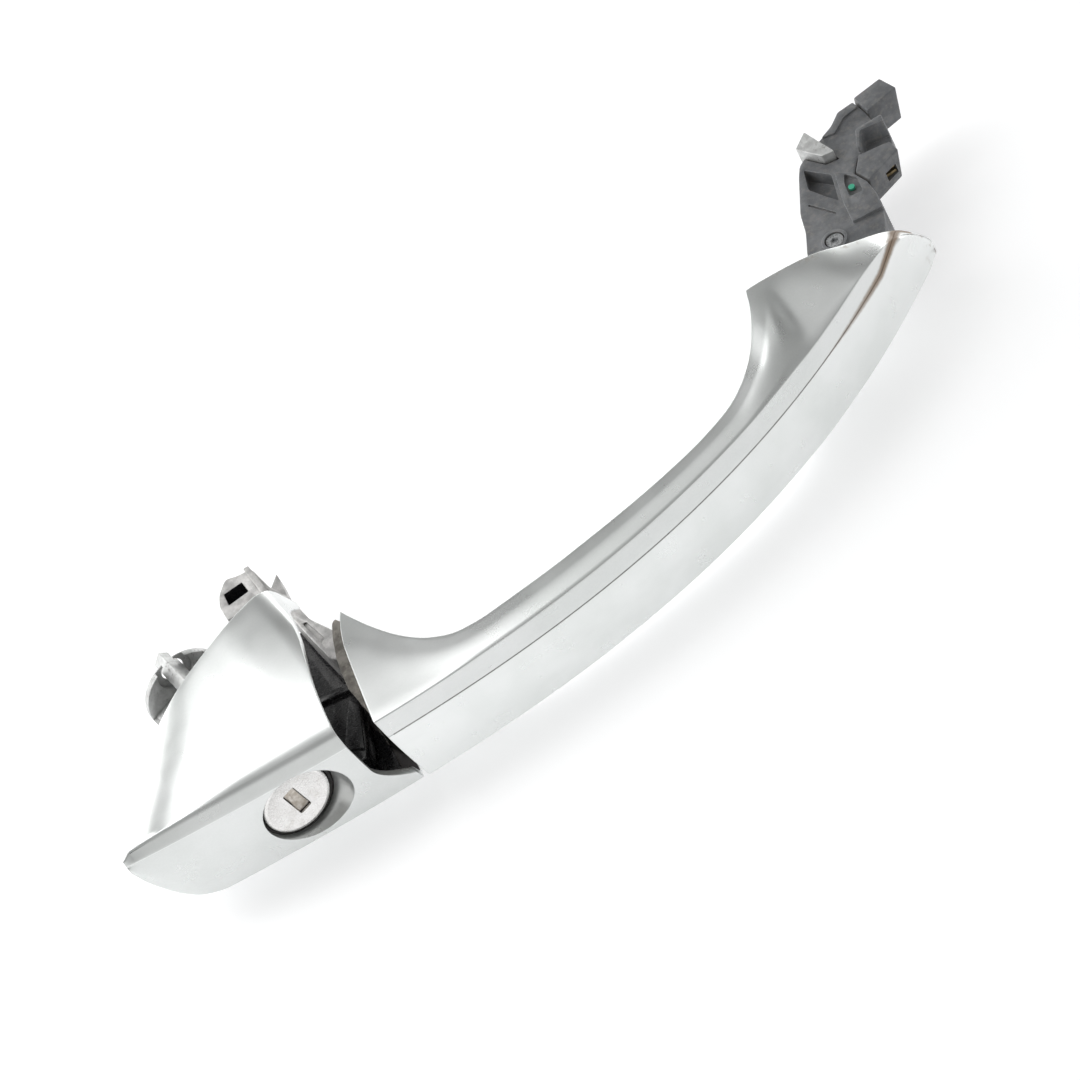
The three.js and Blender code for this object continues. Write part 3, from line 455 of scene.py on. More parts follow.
def prism(name, outline, z0, z1, radius=0.0, drift=0.0):
    """Plan outline [x, y] given height from z0 to z1; the low end may drift along x."""
    ring = rounded_outline(outline, radius) if radius > 0 else [(float(x), float(y)) for x, y in outline]
    return extruded(name, [(x + drift, y, z0) for x, y in ring], [(x, y, z1) for x, y in ring])


def block(name, x0, x1, y0, y1, z0, z1):
    return prism(name, [(x0, y0), (x1, y0), (x1, y1), (x0, y1)], z0, z1)


def circle(segments):
    """Cosine and sine of evenly spaced angles."""
    angles = [2 * math.pi * s / segments for s in range(segments)]
    return [(math.cos(a), math.sin(a)) for a in angles]


def turned(name, profile, segments=96, centre_z=0.0):
    """Round solid about the Y axis through the profile's (radius, y) points, closed on the axis."""
    rings = [[(r * c, y, centre_z + r * s) for c, s in circle(segments)] for r, y in profile]
    return ring_solid(name, rings)


def rod(name, start, direction, length, radius):
    """Round bar from `start` along `direction`."""
    d = Vector(direction).normalized()
    side = d.orthogonal().normalized()
    other = d.cross(side)
    low, high = [[tuple(Vector(start) + d * along + (side * c + other * s) * radius) for c, s in circle(40)]
                 for along in (0.0, length)]
    return extruded(name, low, high)


def spin(obj, angle, axis):
    """Turns a raw piece about an axis through the lock's centre line."""
    c = Vector(to_row([(0, 0, 0)])[0])
    turn = Matrix.Translation(c) @ Matrix.Rotation(angle, 4, axis) @ Matrix.Translation(-c)
    obj.data.transform(turn)
    return obj


def to_lock_place(obj):
    """From the lock's own frame (y from its face) to its place in the cap."""
    spin(obj, LOCK_TURN, "Z")
    obj.data.transform(Matrix.Translation((0, LOCK_FACE_Y * MM, 0)))
    return obj


# ---- grip ----
def grip_profile(x):
    """Named corner values of the grip's section at x."""
    face = bow_y(x)
    finger = track(FINGER_Y, x, 1.0)
    back = np.minimum(finger, 0.0)
    return {
        "face": face,
        "depth": finger - face,
        "back": back,
        "seam": track(GRIP_SEAM_Z, x, 1.0),
        "edge": track(GRIP_EDGE_Z, x, 1.0),
        "top": track(GRIP_TOP_Z, x, 1.5),
        "low": track(GRIP_LOW_Z, x, 1.0),
        "bottom": track(GRIP_BOTTOM_Z, x, 1.5),
        "soft": 0.5 + 2.3 * smooth_step(-finger, -1.0, 4.0),
    }


def side_z(y, face, depth, near, far):
    """Height of the grip's side from the outer edge (near) to the finger side (far)."""
    k = np.clip((y - face) / (0.62 * depth), 0, 1)
    return near + (far - near) * np.sin(k * math.pi / 2) ** 1.15


def upper_point(p, y):
    return y, side_z(y, p["face"], p["depth"], p["edge"], p["top"])


def lower_point(p, y):
    return y, side_z(y, p["face"], p["depth"], p["low"], p["bottom"])


def over_top(p):
    """Outline of the grip from the seam's usual height over its upper edge to the back."""
    step = np.minimum(1.0, p["depth"] * 0.1)
    room = p["back"] - p["face"]
    seam = (p["face"], np.minimum(p["seam"], p["edge"] - 0.4))
    edge = (p["face"] + step, p["edge"])
    first_y = edge[0] + 0.06 * (p["back"] - edge[0])
    last_y = p["back"] - np.minimum(p["soft"], 0.2 * room)
    first = upper_point(p, first_y)
    last = upper_point(p, last_y)
    points = [seam] + between(seam, edge, 4)
    points += corner_points(seam, edge, first, EDGE_R, 6)
    points += [upper_point(p, first_y + (last_y - first_y) * t) for t in np.linspace(0, 1, 30)[1:]]
    return points, last


def running(points, shape):
    """The outline as arrays of y, z and running length, one column per x."""
    ys = np.stack([np.broadcast_to(y, shape) for y, _ in points])
    zs = np.stack([np.broadcast_to(z, shape) for _, z in points])
    steps = np.hypot(np.diff(ys, axis=0), np.diff(zs, axis=0))
    run = np.concatenate([np.zeros((1, ys.shape[1])), np.cumsum(steps, axis=0)])
    return ys, zs, run


def picked(ys, zs, run, wanted):
    """Points of the outline at the wanted running lengths."""
    out = []
    for row in wanted:
        out.append([np.array([np.interp(w, r, v) for w, r, v in zip(row, run.T, vs.T)]) for vs in (ys, zs)])
    return out


def seam_climb(x):
    """Share of the way from the seam's usual height to the seat."""
    return np.minimum(1.0, track(SEAM_CLIMB, x))


def part_above_seam(points, x):
    """The outline's points on the body's side of the climbing seam; those below it wait beside the seam."""
    ys, zs, run = running(points, x.shape)
    k = np.arange(len(points))[:, None] * HAIR
    seam = np.minimum(run[-1] * seam_climb(x) + SEAM_GAP, run[-1] - len(points) * HAIR)
    return picked(ys, zs, run, np.maximum(run, seam + k))


def part_below_seam(points, x):
    """The outline's points on the cover's side of the climbing seam; those above it wait beside the seam."""
    ys, zs, run = running(points, x.shape)
    k = np.arange(len(points))[::-1][:, None] * HAIR
    seam = np.maximum(run[-1] * seam_climb(x), len(points) * HAIR)
    return picked(ys, zs, run, np.minimum(run, seam - k))


def body_section(x):
    """Inner body: from the seam over the top and finger side to the cover's lower edge."""
    p = grip_profile(x)
    points, last = over_top(p)
    out = part_above_seam(points, x)
    last_y = last[0]
    corner = upper_point(p, p["back"])
    low_corner = lower_point(p, p["back"])
    out += corner_points(last, corner, low_corner, p["soft"], 9)
    out += between(corner, low_corner, 12)
    out += corner_points(corner, low_corner, lower_point(p, last_y), p["soft"], 9)
    end_y = p["face"] + np.minimum(COVER_WRAP + SEAM_GAP, 0.3 * (p["back"] - p["face"]))
    return out + [lower_point(p, last_y + (end_y - last_y) * t) for t in np.linspace(0, 1, 26)[1:]]


def cover_section(x):
    """Outer cover: from the seam down the face, round the low edge and a little way under."""
    p = grip_profile(x)
    points, _ = over_top(p)
    out = part_below_seam(points, x)[::-1]
    end = lower_point(p, p["face"] + np.minimum(COVER_WRAP, 0.27 * (p["back"] - p["face"])))
    corner = (p["face"], p["low"])
    top = points[0][1]
    radius = np.minimum(LOW_EDGE_R, 0.35 * (top - p["low"]))
    start = (p["face"], p["low"] + radius)
    out += face_points(p["face"], top, start[1])
    out += corner_points(start, corner, end, radius * 0.99, 10)[1:]
    return out + between(out[-1], end, 2) + [end]


def grip_sweep(section, shares):
    """Rows of points from the grip's rear end to its tip."""
    xs = np.linspace(14, GRIP_TIP_X, 1400)
    return swept(section, xs, lambda x: x + (GRIP_TIP_X - x) * shares, grip_end_x, 32.0, 40, 0.5)


def round_rim(rows, centre, end):
    """Rounds the rim at row `end` by pulling its points towards the centre."""
    away = np.clip(np.abs(rows[..., 0] - rows[end, :, 0]), 0, RIM_R)
    pull = RIM_R - np.sqrt(RIM_R**2 - (RIM_R - away) ** 2)
    return thinned(rows, centre, lambda reach: pull / reach)


def rim_steps(length):
    """Shares of `length` at which a rounded rim needs rows."""
    return RIM_R * np.array([0.0, 0.07, 0.2, 0.45, 1.0]) / length


def grip_rows(count):
    """Spacing along the grip: even, but crowded towards both ends."""
    t = np.linspace(0, 1, count)[1:]
    spaced = np.where(t < 0.5, t**1.12 * 0.5**-0.12, 1 - (1 - t) ** 1.35 * 0.5**-0.35)
    return np.concatenate([rim_steps(190.0), spaced])


def grip_centre(x):
    p = grip_profile(x)
    return 0.45 * p["face"] + 0.55 * p["back"], 0.5 * (p["edge"] + p["low"])


def grip_share(x):
    return 0.45 - 0.3 * smooth_step(x, 196, 214)


def grip_shell(name, section, wall):
    rows = round_rim(grip_sweep(section, grip_rows(GRIP_ROW_COUNT)), grip_centre, 0)
    return band_solid(name, rows, grip_centre, wall, grip_share)


def build_cover():
    return smooth(grip_shell("grip_cover_skin", cover_section, COVER_WALL))


def build_body():
    outline = grown(FOOT_OUTLINE, PIECE_GAP)
    socket = prism("socket", outline, FOOT_LOW - PIECE_GAP, FOOT_TOP + PIECE_GAP, 0.6)
    return smooth(cut(grip_shell("grip_body_skin", body_section, BODY_WALL), socket))


def grown(outline, d):
    """Outline moved outwards by d."""
    pts = np.array(outline, float)
    nxt = np.roll(pts, -1, axis=0)
    area = float(np.sum(pts[:, 0] * nxt[:, 1] - nxt[:, 0] * pts[:, 1]))
    side = 1.0 if area > 0 else -1.0
    out = []
    for i in range(len(pts)):
        e0 = pts[i] - pts[i - 1]
        e1 = pts[(i + 1) % len(pts)] - pts[i]
        e0 = e0 / np.linalg.norm(e0)
        e1 = e1 / np.linalg.norm(e1)
        n0 = np.array([e0[1], -e0[0]])
        n1 = np.array([e1[1], -e1[0]])
        m = (n0 + n1) / np.linalg.norm(n0 + n1)
        out.append(tuple(pts[i] + m * side * d / max(0.35, float(m @ n0))))
    return out


def insert_proud(y, z):
    """How far the end insert stands out of the grip's rear."""
    return (3.4 + 2.4 * np.clip((3 - z) / 10, 0, 1)) * np.clip((y + 38) / 14, 0, 1)


def inset_ring(x, inset):
    """Closed section of the grip pulled in by `inset`, for the end insert."""
    p = grip_profile(x)
    back = np.minimum(track(FINGER_Y, x, 1.0) - inset * 2.2, -0.4)
    face = p["face"] + inset * 1.05
    shoulder = face + 0.35 * (back - face)
    top = p["top"] - inset
    bottom = p["bottom"] + inset
    corners = [(face, p["seam"]), (face + 0.8, p["edge"] - inset), (shoulder, top), (back, top),
               (back, bottom), (shoulder, bottom), (face, p["low"] + inset)]
    points = []
    for i, corner in enumerate(corners):
        radius = 2.0 if i in (3, 4, 6) else 0.8
        nxt = corners[(i + 1) % len(corners)]
        points += corner_points(corners[i - 1], corner, nxt, radius, 6)
        points += between(corner, nxt, 3)
    return points


def insert_end_x(y, z, depth):
    """Surface of the end insert at `depth` behind its front."""
    return grip_end_x(y, z) - insert_proud(y, z) * (1 - depth / INSERT_WALL) + depth * 0.9


def build_insert():
    """End wall that closes the grip's rear and stands a little proud of the shell."""
    xs = np.linspace(14, 60, 400)
    rings = []
    for depth, shrink in INSERT_RINGS:
        ring = []
        for ys, zs in inset_ring(xs, INSERT_INSET):
            x = meet(xs, ys, zs, lambda y, z: insert_end_x(y, z, depth), 32.0, 40, 0.5)
            z = np.interp(x, xs, zs)
            ring.append((x, np.interp(x, xs, ys), z - shrink * np.sign(z)))
        rings.append(ring)
    wall = ring_solid("grip_end_skin", rings)
    half = ARM_HALF + PIECE_GAP
    cut(wall, prism("arm_seat", grown(ARM_OUTLINE, PIECE_GAP), -half, half, 0.5))
    return smooth(bevel(wall, 0.3, 2, 50), 40)


# ---- cap ----
def cap_side(k, near, far, sign, swell):
    """Height of the cap's side at share k of its depth."""
    return near + (far - near) * k + sign * swell * 1.15 * np.sin(math.pi * np.clip(k, 0, 1)) ** 0.85


def cap_section(x):
    """Cap shell from its top rim over strip, crease and face to its low rim."""
    face = bow_y(x)
    rim = track(CAP_RIM_Y, x, 0.6)
    crease = track(CAP_CREASE_Z, x, 1.0)
    strip = track(CAP_STRIP_Z, x, 1.0)
    low = track(CAP_LOW_Z, x, 0.8)
    rim_top = track(CAP_RIM_TOP_Z, x, 0.8)
    rim_low = track(CAP_RIM_LOW_Z, x, 0.8)
    depth = rim - face
    swell = np.minimum(1.6, (rim_top - rim_low) * 0.06)
    radius = np.minimum(LOW_EDGE_R, np.maximum(0.3, (crease - low) * 0.3))
    strip_at = (face + np.minimum(2.2, depth * 0.12), strip)
    crease_at = (face, crease)

    def upper(k):
        return face + depth * k, cap_side(k, strip, rim_top, 1, swell)

    def lower(k):
        return face + depth * k, cap_side(k, low, rim_low, -1, swell)

    k0 = (strip_at[0] - face) / depth
    points = [upper(k0 + 0.03 + (1 - k0 - 0.03) * k) for k in np.linspace(1, 0, 40)[:-1]]
    points += corner_points(upper(k0 + 0.03), strip_at, crease_at, 1.1, 7)
    points += between(strip_at, crease_at, 3)
    below = (face, crease - 2.5)
    points += corner_points(strip_at, crease_at, below, 0.4, 5)
    start = (face, low + radius)
    points += face_points(face, crease - 0.4, start[1])
    points += corner_points(start, (face, low), lower(0.12), radius * 0.99, 9)[1:]
    return points + [lower(k) for k in np.linspace(0.12, 1, 34)[1:]]


def cap_sweep(section, shares, end_x=cap_end_x):
    """Rows of points from the cap's tip to its end beside the grip."""
    xs = np.linspace(CAP_TIP_X, 40, 1200)
    return swept(section, xs, lambda x: CAP_TIP_X + (x - CAP_TIP_X) * shares, end_x, 22.0, 60, 0.4)


def ellipse_ring(x, y, z, rx, rz):
    angles = np.linspace(0, 2 * math.pi, 96, endpoint=False)
    return [(x + rx * math.cos(a), y, z + rz * math.sin(a)) for a in angles]


def scoop_tool():
    """Dish in the cap's face round the lock, from in front of the face to behind the disc."""
    x, z, rx, rz = (SCOOP[key] for key in ("x", "z", "rx", "rz"))
    rings = [(-10, x + 0.9, z, rx + 1.5, rz + 1.0), (-4.6, x, z, rx + 0.2, rz + 0.1),
             (-1.5, 0.8, 0.15, 11.2, 10.9), (1.2, 0.2, 0, 10.8, 10.8), (2.4, 0, 0, 10.8, 10.8)]
    return ring_solid("scoop", [ellipse_ring(cx, LOCK_FACE_Y + y, cz, a, b) for y, cx, cz, a, b in rings])


def cap_centre(x):
    mid_z = 0.5 * (track(CAP_STRIP_Z, x, 1.0) + track(CAP_LOW_Z, x, 0.8))
    rim_z = 0.5 * (track(CAP_RIM_TOP_Z, x, 0.8) + track(CAP_RIM_LOW_Z, x, 0.8))
    return 0.5 * (bow_y(x) + track(CAP_RIM_Y, x, 0.6)), 0.5 * (mid_z + rim_z)


def cap_share(x):
    return 0.4 + 0.57 * (1 - smooth_step(x, -43.6, -41.0))


def lock_collar():
    """Thickening of the cap behind the scoop, from just under the outer face to behind the lock's disc."""
    xs, _, zs = np.array(ellipse_ring(COLLAR["x"], 0, COLLAR["z"], COLLAR["rx"], COLLAR["rz"])).T
    deep = LOCK_FACE_Y + COLLAR["depth"] + xs * math.tan(LOCK_TURN)
    return ring_solid("collar", [np.stack([xs, y, zs], axis=1) for y in (bow_y(xs) + COLLAR["skin"], deep)])


def build_cap():
    t = np.concatenate([np.linspace(0, 1, 220)[:-1] ** 1.5, 1 - rim_steps(62.0)[::-1]])
    rows = round_rim(cap_sweep(cap_section, t), cap_centre, -1)
    shell = band_solid("lock_cap_skin", rows, cap_centre, CAP_WALL, cap_share)
    fuse(shell, lock_collar())
    cut(shell, scoop_tool(), to_lock_place(turned("bore", [(11.5, 0.9), (11.5, 9)], 96)))
    return smooth(shell, 30)


def frame_section(x):
    """Black inner frame just inside the cap's shell."""
    centre_y, centre_z = cap_centre(x)
    out = []
    for y, z in cap_section(x):
        dy = y - centre_y
        dz = z - centre_z
        reach = np.hypot(dy, dz) + 1e-6
        out.append((y - FRAME["inset"] * dy / reach, z - FRAME["inset"] * dz / reach))
    return out


def build_frame():
    shares = FRAME["from"] + FRAME["over"] * np.linspace(0, 1, FRAME["rows"])
    rows = cap_sweep(frame_section, shares, lambda y, z: cap_end_x(y, z) - FRAME["behind"])
    wall = band_solid("cap_frame_skin", rows, cap_centre, FRAME["wall"], cap_share)
    web = prism("web", WEB_OUTLINE, -12.4, -6.2, 1.2)
    shelf = prism("shelf", [(13, -28), (13, 12), (22, 12), (19, -28)], -16, -11.5, 1.0)
    rib = prism("rib", [(16, -1.5), (28.4, -5.6), (28.4, -8.2), (16, -4.6)], -7.5, -4.9, 0.6)
    bar_outline = [(17.4, -24), (21.6, -27.6), (27.2, -14), (26.2, -10), (24.6, -12.4)]
    bar = prism("bar", bar_outline, -7.2, -5.6, 0.5)
    cut(wall, to_lock_place(turned("lock_room", [(LOCK_ROOM_R, -12), (LOCK_ROOM_R, 30)], 64)))
    shelves = [bevel(web, 0.5, 3), bevel(shelf, 0.5, 2), bevel(rib, 0.4, 3), bevel(bar, 0.3, 3)]
    return smooth(gather(wall, *shelves), 40)


# ---- lock ----
def key_prism(name, y0, y1, grow, corner):
    """Box of the key slot's outline between two depths, with rounded corners."""
    wide = KEY_SLOT["wide"] / 2 + grow
    long = KEY_SLOT["long"] / 2 + grow
    ring = rounded_outline([(-wide, -long), (wide, -long), (wide, long), (-wide, long)], corner)
    low, high = [[(x, y, z) for x, z in ring] for y in (y0, y1)]
    return spin(extruded(name, low, high), -KEY_SLOT["turn"], "Y")


def build_lock_face():
    r = LOCK_FACE_R
    profile = [(0.01, 0.16), (r - 1.5, 0.16), (r - 1.3, 0.05), (r - 1.1, 0.0), (r - 0.7, 0.0),
               (r - 0.4, 0.09), (r - 0.15, 0.3), (r, 0.62), (r, 2.45), (r - 0.15, 2.6), (0.01, 2.6)]
    disc = cut(turned("lock_face_skin", profile, 160), key_prism("slot", -1, 4, 0.0, 0.5))
    return smooth(to_lock_place(bevel(disc, 0.16, 3, 50)), 40)


def build_shutter():
    flap = key_prism("key_shutter_skin", 0.9, 1.6, -0.25, 0.35)
    fold = key_prism("fold", 0.75, 1.2, -0.25, 0.3)
    fold.data.transform(Matrix.Scale(0.28, 4, (1, 0, 0)))
    fold.data.transform(Matrix.Translation(((-ORIGIN_X * 0.72 - 1.1) * MM, 0, 0)))
    fuse(flap, fold)
    return smooth(to_lock_place(bevel(flap, 0.1, 2, 50)), 40)


def build_seal_ring():
    inner = LOCK_FACE_R + 0.32
    ring = turned("lock_seal_ring_skin", [(10.7, 1.15), (11.15, 1.6), (11.2, 3.1)], 128)
    cut(ring, turned("hole", [(inner, 0), (inner, 4)], 128))
    return smooth(to_lock_place(bevel(ring, 0.14, 2, 50)), 40)


def tail_cradle():
    c = CRADLE
    rim_profile = [(c["r"], BARREL_END - 2), (c["r"], c["back"] - 0.5), (c["r"] - 0.5, c["back"])]
    rim = turned("rim", rim_profile, 96, c["z"])
    inner = c["r"] - c["wall"]
    front = c["back"] - c["wall"]
    trough = turned("trough", [(inner, BARREL_END), (inner, front)], 96, c["z"])
    open_top = block("open_top", -20, 20, BARREL_END, front, c["z"], 20)
    pocket = turned("pocket", [(c["pocket_r"], front - 1), (c["pocket_r"], c["back"] - 0.9)], 64)
    bar_hole = turned("bar_hole", [(3.3, BARREL_END), (3.3, 80)], 48)
    mouth = block("mouth", -1.8, 1.8, BARREL_END, 80, 0, 20)
    over = block("over", -20, 20, 30, BARREL_END, -3, 20)
    shelf = block("shelf_rib", -c["r"] + 1, 2, c["back"] - 5.5, c["back"] - 1, -0.6, 0.6)
    spin(shelf, -c["tilt"], "Y")
    shelf.data.transform(Matrix.Translation((0, 0, (c["z"] + 2.4) * MM)))
    cut(rim, over, trough, open_top)
    fuse(rim, shelf)
    return cut(rim, pocket, bar_hole, mouth)


def build_housing():
    profile = [(BARREL_R, 3.4), (BARREL_R, BARREL_END - 1), (BARREL_R - 1, BARREL_END)]
    barrel = turned("lock_housing_skin", profile)
    ribs = [block("rib_top", -2.2, 2.2, 8, 36, BARREL_R - 1.5, BARREL_R + 2),
            block("rib_low", -2.2, 2.2, 8, 40, -BARREL_R - 2, -BARREL_R + 1.5),
            block("ear", -16.4, -8, 30, 40, -6, 6)]
    fuse(barrel, *ribs)
    fuse(barrel, tail_cradle())
    cut(barrel, turned("bore", [(7.95, 0), (7.95, 42.3), (4.75, 42.4), (4.75, 60)], 64),
        rod("screw_hole", (-24, 35, 0), (1, 0, 0), 16, 2.1))
    return smooth(to_lock_place(bevel(barrel, 0.3, 2, 40)), 35)


def build_tail():
    hub = turned("tail_driver_skin", [(5.6, 48.9), (5.6, 52), (4.6, 53)], 64)
    half = TAIL_SIDE / 2
    bar = spin(block("bar", -half, half, 51, TAIL_END, -half, half), math.pi / 4, "Y")
    tip_cut = spin(block("tip", 0.9, 3, TAIL_END - 2.2, TAIL_END + 1, -4, 4), math.pi / 4, "Y")
    cut(bar, tip_cut)
    fuse(hub, bar, block("wings", -7.4, 7.4, 49.6, 52, -1.4, 1.4))
    return smooth(to_lock_place(bevel(hub, 0.28, 3, 40)), 35)


# ---- latch arm ----
def build_arm():
    arm = bevel(prism("latch_arm_skin", ARM_OUTLINE, -ARM_HALF, ARM_HALF, 1.2), 0.5, 3)
    ridge = prism("ridge", [(24.9, 25.5), (24.9, 40.6), (26.5, 40.4), (26.5, 25.5)], 4, 6.4, 0.4)
    wing = prism("wing", [(26.9, 30.6), (31.2, 34.6), (29.8, 25), (27.4, 21)], -2, 3.4, 0.5)
    fuse(arm, ridge, wing)
    window = prism("window", [(16.2, 34.2), (16.9, 38.8), (22.6, 38.6), (22.6, 34.2)], -4.0, 8, 0.3)
    recess = prism("recess", [(28.3, 12), (29.4, 12), (30.6, 3), (29, 2)], 4.1, 8, 0.4)
    cut(arm, window, recess)
    # The faces of the window's walls go to the second slot, the black material: painted shade inside the
    # hole.
    return second_inside(smooth(bevel(arm, 0.18, 2, 50), 35), (16.0, 34.0, -4.2), (22.8, 39.0, 4.2))


# ---- hinge foot ----
def shell_prism(name, shell, grow=0.0):
    outline = grown(shell["outline"], grow) if grow else shell["outline"]
    return prism(name, outline, shell["low"] - grow, shell["top"] + grow, 0.5, shell["drift"])


def build_foot():
    foot = bevel(prism("hinge_foot_skin", FOOT_OUTLINE, FOOT_LOW, FOOT_TOP, 1.0), 0.45, 2)
    lug = prism("lug", [(221.6, 32), (225.2, 38.4), (233.2, 37.4), (230.4, 30.4)], -5, 7, 0.8)
    deck = prism("deck", [(212.9, 30.5), (208.8, 19.9), (206.4, 11), (215, 9.2), (216.5, 15), (217.1, 20),
                          (216.1, 26.3)], 4, 6.2, 0.6)
    spine = prism("spine", [(217.6, 44.8), (221.6, 46.2), (225.8, 49.2), (230.7, 49), (230.7, 46.6),
                            (226, 46.4), (221, 43.4)], 4, 5.8, 0.4)
    boss = rod("boss", (FOOT_SCREW[0], FOOT_SCREW[1], -1.3), (0, 0, 1), 7, 3.6)
    fuse(foot, bevel(lug, 0.4, 2), bevel(deck, 0.3, 2), bevel(spine, 0.25, 2), boss)
    pocket = [(204.8, 32), (207.8, 39.4), (212.2, 31.6), (208.4, 21.8), (206.6, 26.4)]
    tools = [
        rod("boss_hole", (FOOT_SCREW[0], FOOT_SCREW[1], -3), (0, 0, 1), 12, 2.8),
        prism("pocket", pocket, 0.6, 9, 0.7),
        prism("lug_pocket", [(221.4, 30.4), (225.8, 37.2), (234, 34.4), (232, 26.4)], 0.8, 9, 0.8),
        prism("arch", [(214.4, 27.8), (216, 23.8), (214.6, 18), (210.8, 19.4), (212.6, 25)], 5, 9, 0.9),
        prism("groove", [(201.4, 27), (202, 27.4), (205.6, 18.6), (205, 18.2)], 4.4, 9),
        prism("hollow", [(206, 8), (199.6, -3), (192, -5), (194, 8.5), (197, 9.4)], -12, -3.5, 0.8),
        prism("finger_seat", grown(HOOK_FINGER, 0.3), 2.7, 12),
        prism("shank_seat", grown(HOOK_SHANK, 0.3), -2.3, 12),
        shell_prism("seat_a", SHELL_A, 0.3),
        shell_prism("seat_b", SHELL_B, 0.3),
    ]
    cut(foot, *tools)
    return smooth(bevel(foot, 0.16, 2, 50), 35)


def build_hook():
    finger = bevel(prism("foot_hook_skin", HOOK_FINGER, 3, 8.2, 0.6), 0.45, 3)
    fuse(finger, prism("shank", HOOK_SHANK, -2, 4, 0.4))
    return smooth(bevel(finger, 0.15, 2, 50), 35)


def build_connector(name, shell, mouth):
    body = bevel(shell_prism(name, shell), 0.4, 3)
    cut(body, mouth)
    return smooth(bevel(body, 0.14, 2, 50), 35)


# ---- materials ----
class Look:
    """A node material under construction; every coordinate is in millimetres of the row frame."""

    def __init__(self, name, color, metallic=0.0, roughness=0.5):
        self.material = bpy.data.materials.new(name)
        self.material.use_nodes = True
        self.tree = self.material.node_tree
        self.shader = self.tree.nodes["Principled BSDF"]
        self.shader.inputs["Base Color"].default_value = (*color, 1.0)
        self.shader.inputs["Metallic"].default_value = metallic
        self.shader.inputs["Roughness"].default_value = roughness
        coordinate = self.add("ShaderNodeTexCoord")
        scaled = self.add("ShaderNodeVectorMath")
        scaled.operation = "SCALE"
        scaled.inputs["Scale"].default_value = 1000.0
        self.join(coordinate.outputs["Object"], scaled.inputs[0])
        self.place = scaled.outputs[0]

    def add(self, kind):
        return self.tree.nodes.new(kind)

    def join(self, a, b):
        self.tree.links.new(a, b)

    def feed(self, target, value):
        if hasattr(value, "is_linked"):
            self.join(value, target)
        elif isinstance(value, (tuple, list)):
            is_color = len(value) == 3 and len(target.default_value) == 4
            target.default_value = (*value, 1.0) if is_color else value
        else:
            target.default_value = value

    def stretched(self, sx, sy, sz):
        """The place, with each axis scaled."""
        node = self.add("ShaderNodeVectorMath")
        node.operation = "MULTIPLY"
        self.join(self.place, node.inputs[0])
        node.inputs[1].default_value = (sx, sy, sz)
        return node.outputs[0]

    def noise(self, scale, detail=4.0, roughness=0.55, place=None):
        node = self.add("ShaderNodeTexNoise")
        node.inputs["Scale"].default_value = scale
        node.inputs["Detail"].default_value = detail
        node.inputs["Roughness"].default_value = roughness
        self.join(place or self.place, node.inputs["Vector"])
        return node.outputs["Fac"]

    def cells(self, scale, output):
        node = self.add("ShaderNodeTexVoronoi")
        node.inputs["Scale"].default_value = scale
        self.join(self.place, node.inputs["Vector"])
        return node.outputs[output]

    def ramp(self, value, low, high, out_low=0.0, out_high=1.0):
        node = self.add("ShaderNodeMapRange")
        node.interpolation_type = "SMOOTHSTEP"
        self.feed(node.inputs["Value"], value)
        node.inputs["From Min"].default_value = low
        node.inputs["From Max"].default_value = high
        node.inputs["To Min"].default_value = out_low
        node.inputs["To Max"].default_value = out_high
        return node.outputs["Result"]

    def math(self, operation, a, b):
        node = self.add("ShaderNodeMath")
        node.operation = operation
        self.feed(node.inputs[0], a)
        self.feed(node.inputs[1], b)
        return node.outputs[0]

    def mix(self, factor, a, b):
        node = self.add("ShaderNodeMix")
        node.data_type = "RGBA"
        self.feed(node.inputs[0], factor)
        self.feed(node.inputs[6], a)
        self.feed(node.inputs[7], b)
        return node.outputs[2]

    def axis(self, name):
        node = self.add("ShaderNodeSeparateXYZ")
        self.join(self.place, node.inputs[0])
        return node.outputs[name]

    def attribute(self, name):
        node = self.add("ShaderNodeAttribute")
        node.attribute_name = name
        return node.outputs["Fac"]

    def bump(self, height, strength, distance, after):
        node = self.add("ShaderNodeBump")
        node.inputs["Strength"].default_value = strength
        node.inputs["Distance"].default_value = distance * MM
        self.join(height, node.inputs["Height"])
        self.join(after, node.inputs["Normal"])
        return node.outputs["Normal"]

    def soft_edges(self, radius):
        node = self.add("ShaderNodeBevel")
        node.samples = 4
        node.inputs["Radius"].default_value = radius * MM
        return node.outputs["Normal"]

    def corners(self, radius):
        """1 along sharp edges, 0 on open surfaces."""
        surface = self.add("ShaderNodeNewGeometry").outputs["Normal"]
        turned_by = self.add("ShaderNodeVectorMath")
        turned_by.operation = "DOT_PRODUCT"
        self.join(self.soft_edges(radius), turned_by.inputs[0])
        self.join(surface, turned_by.inputs[1])
        return self.ramp(turned_by.outputs["Value"], 0.86, 0.99, 1.0, 0.0)

    def crevice(self, distance):
        """1 in open surfaces, falling towards 0 in corners and gaps."""
        node = self.add("ShaderNodeAmbientOcclusion")
        node.samples = 4
        node.inputs["Distance"].default_value = distance * MM
        return node.outputs["AO"]

    def set(self, name, value):
        self.feed(self.shader.inputs[name], value)

    def in_gaps(self, tone, distance, low, high, amount, color):
        """The tone, with `color` laid into corners and gaps."""
        return self.mix(self.ramp(self.crevice(distance), low, high, amount, 0.0), tone, color)

    def uneven_roughness(self, scale, detail, low, high):
        self.set("Roughness", self.ramp(self.noise(scale, detail), 0.3, 0.7, low, high))

    def grain(self, height, strength, distance, radius):
        """Grain of the surface, over edges softened by `radius`."""
        normal = self.bump(height, strength, distance, self.soft_edges(radius))
        self.set("Normal", normal)
        return normal


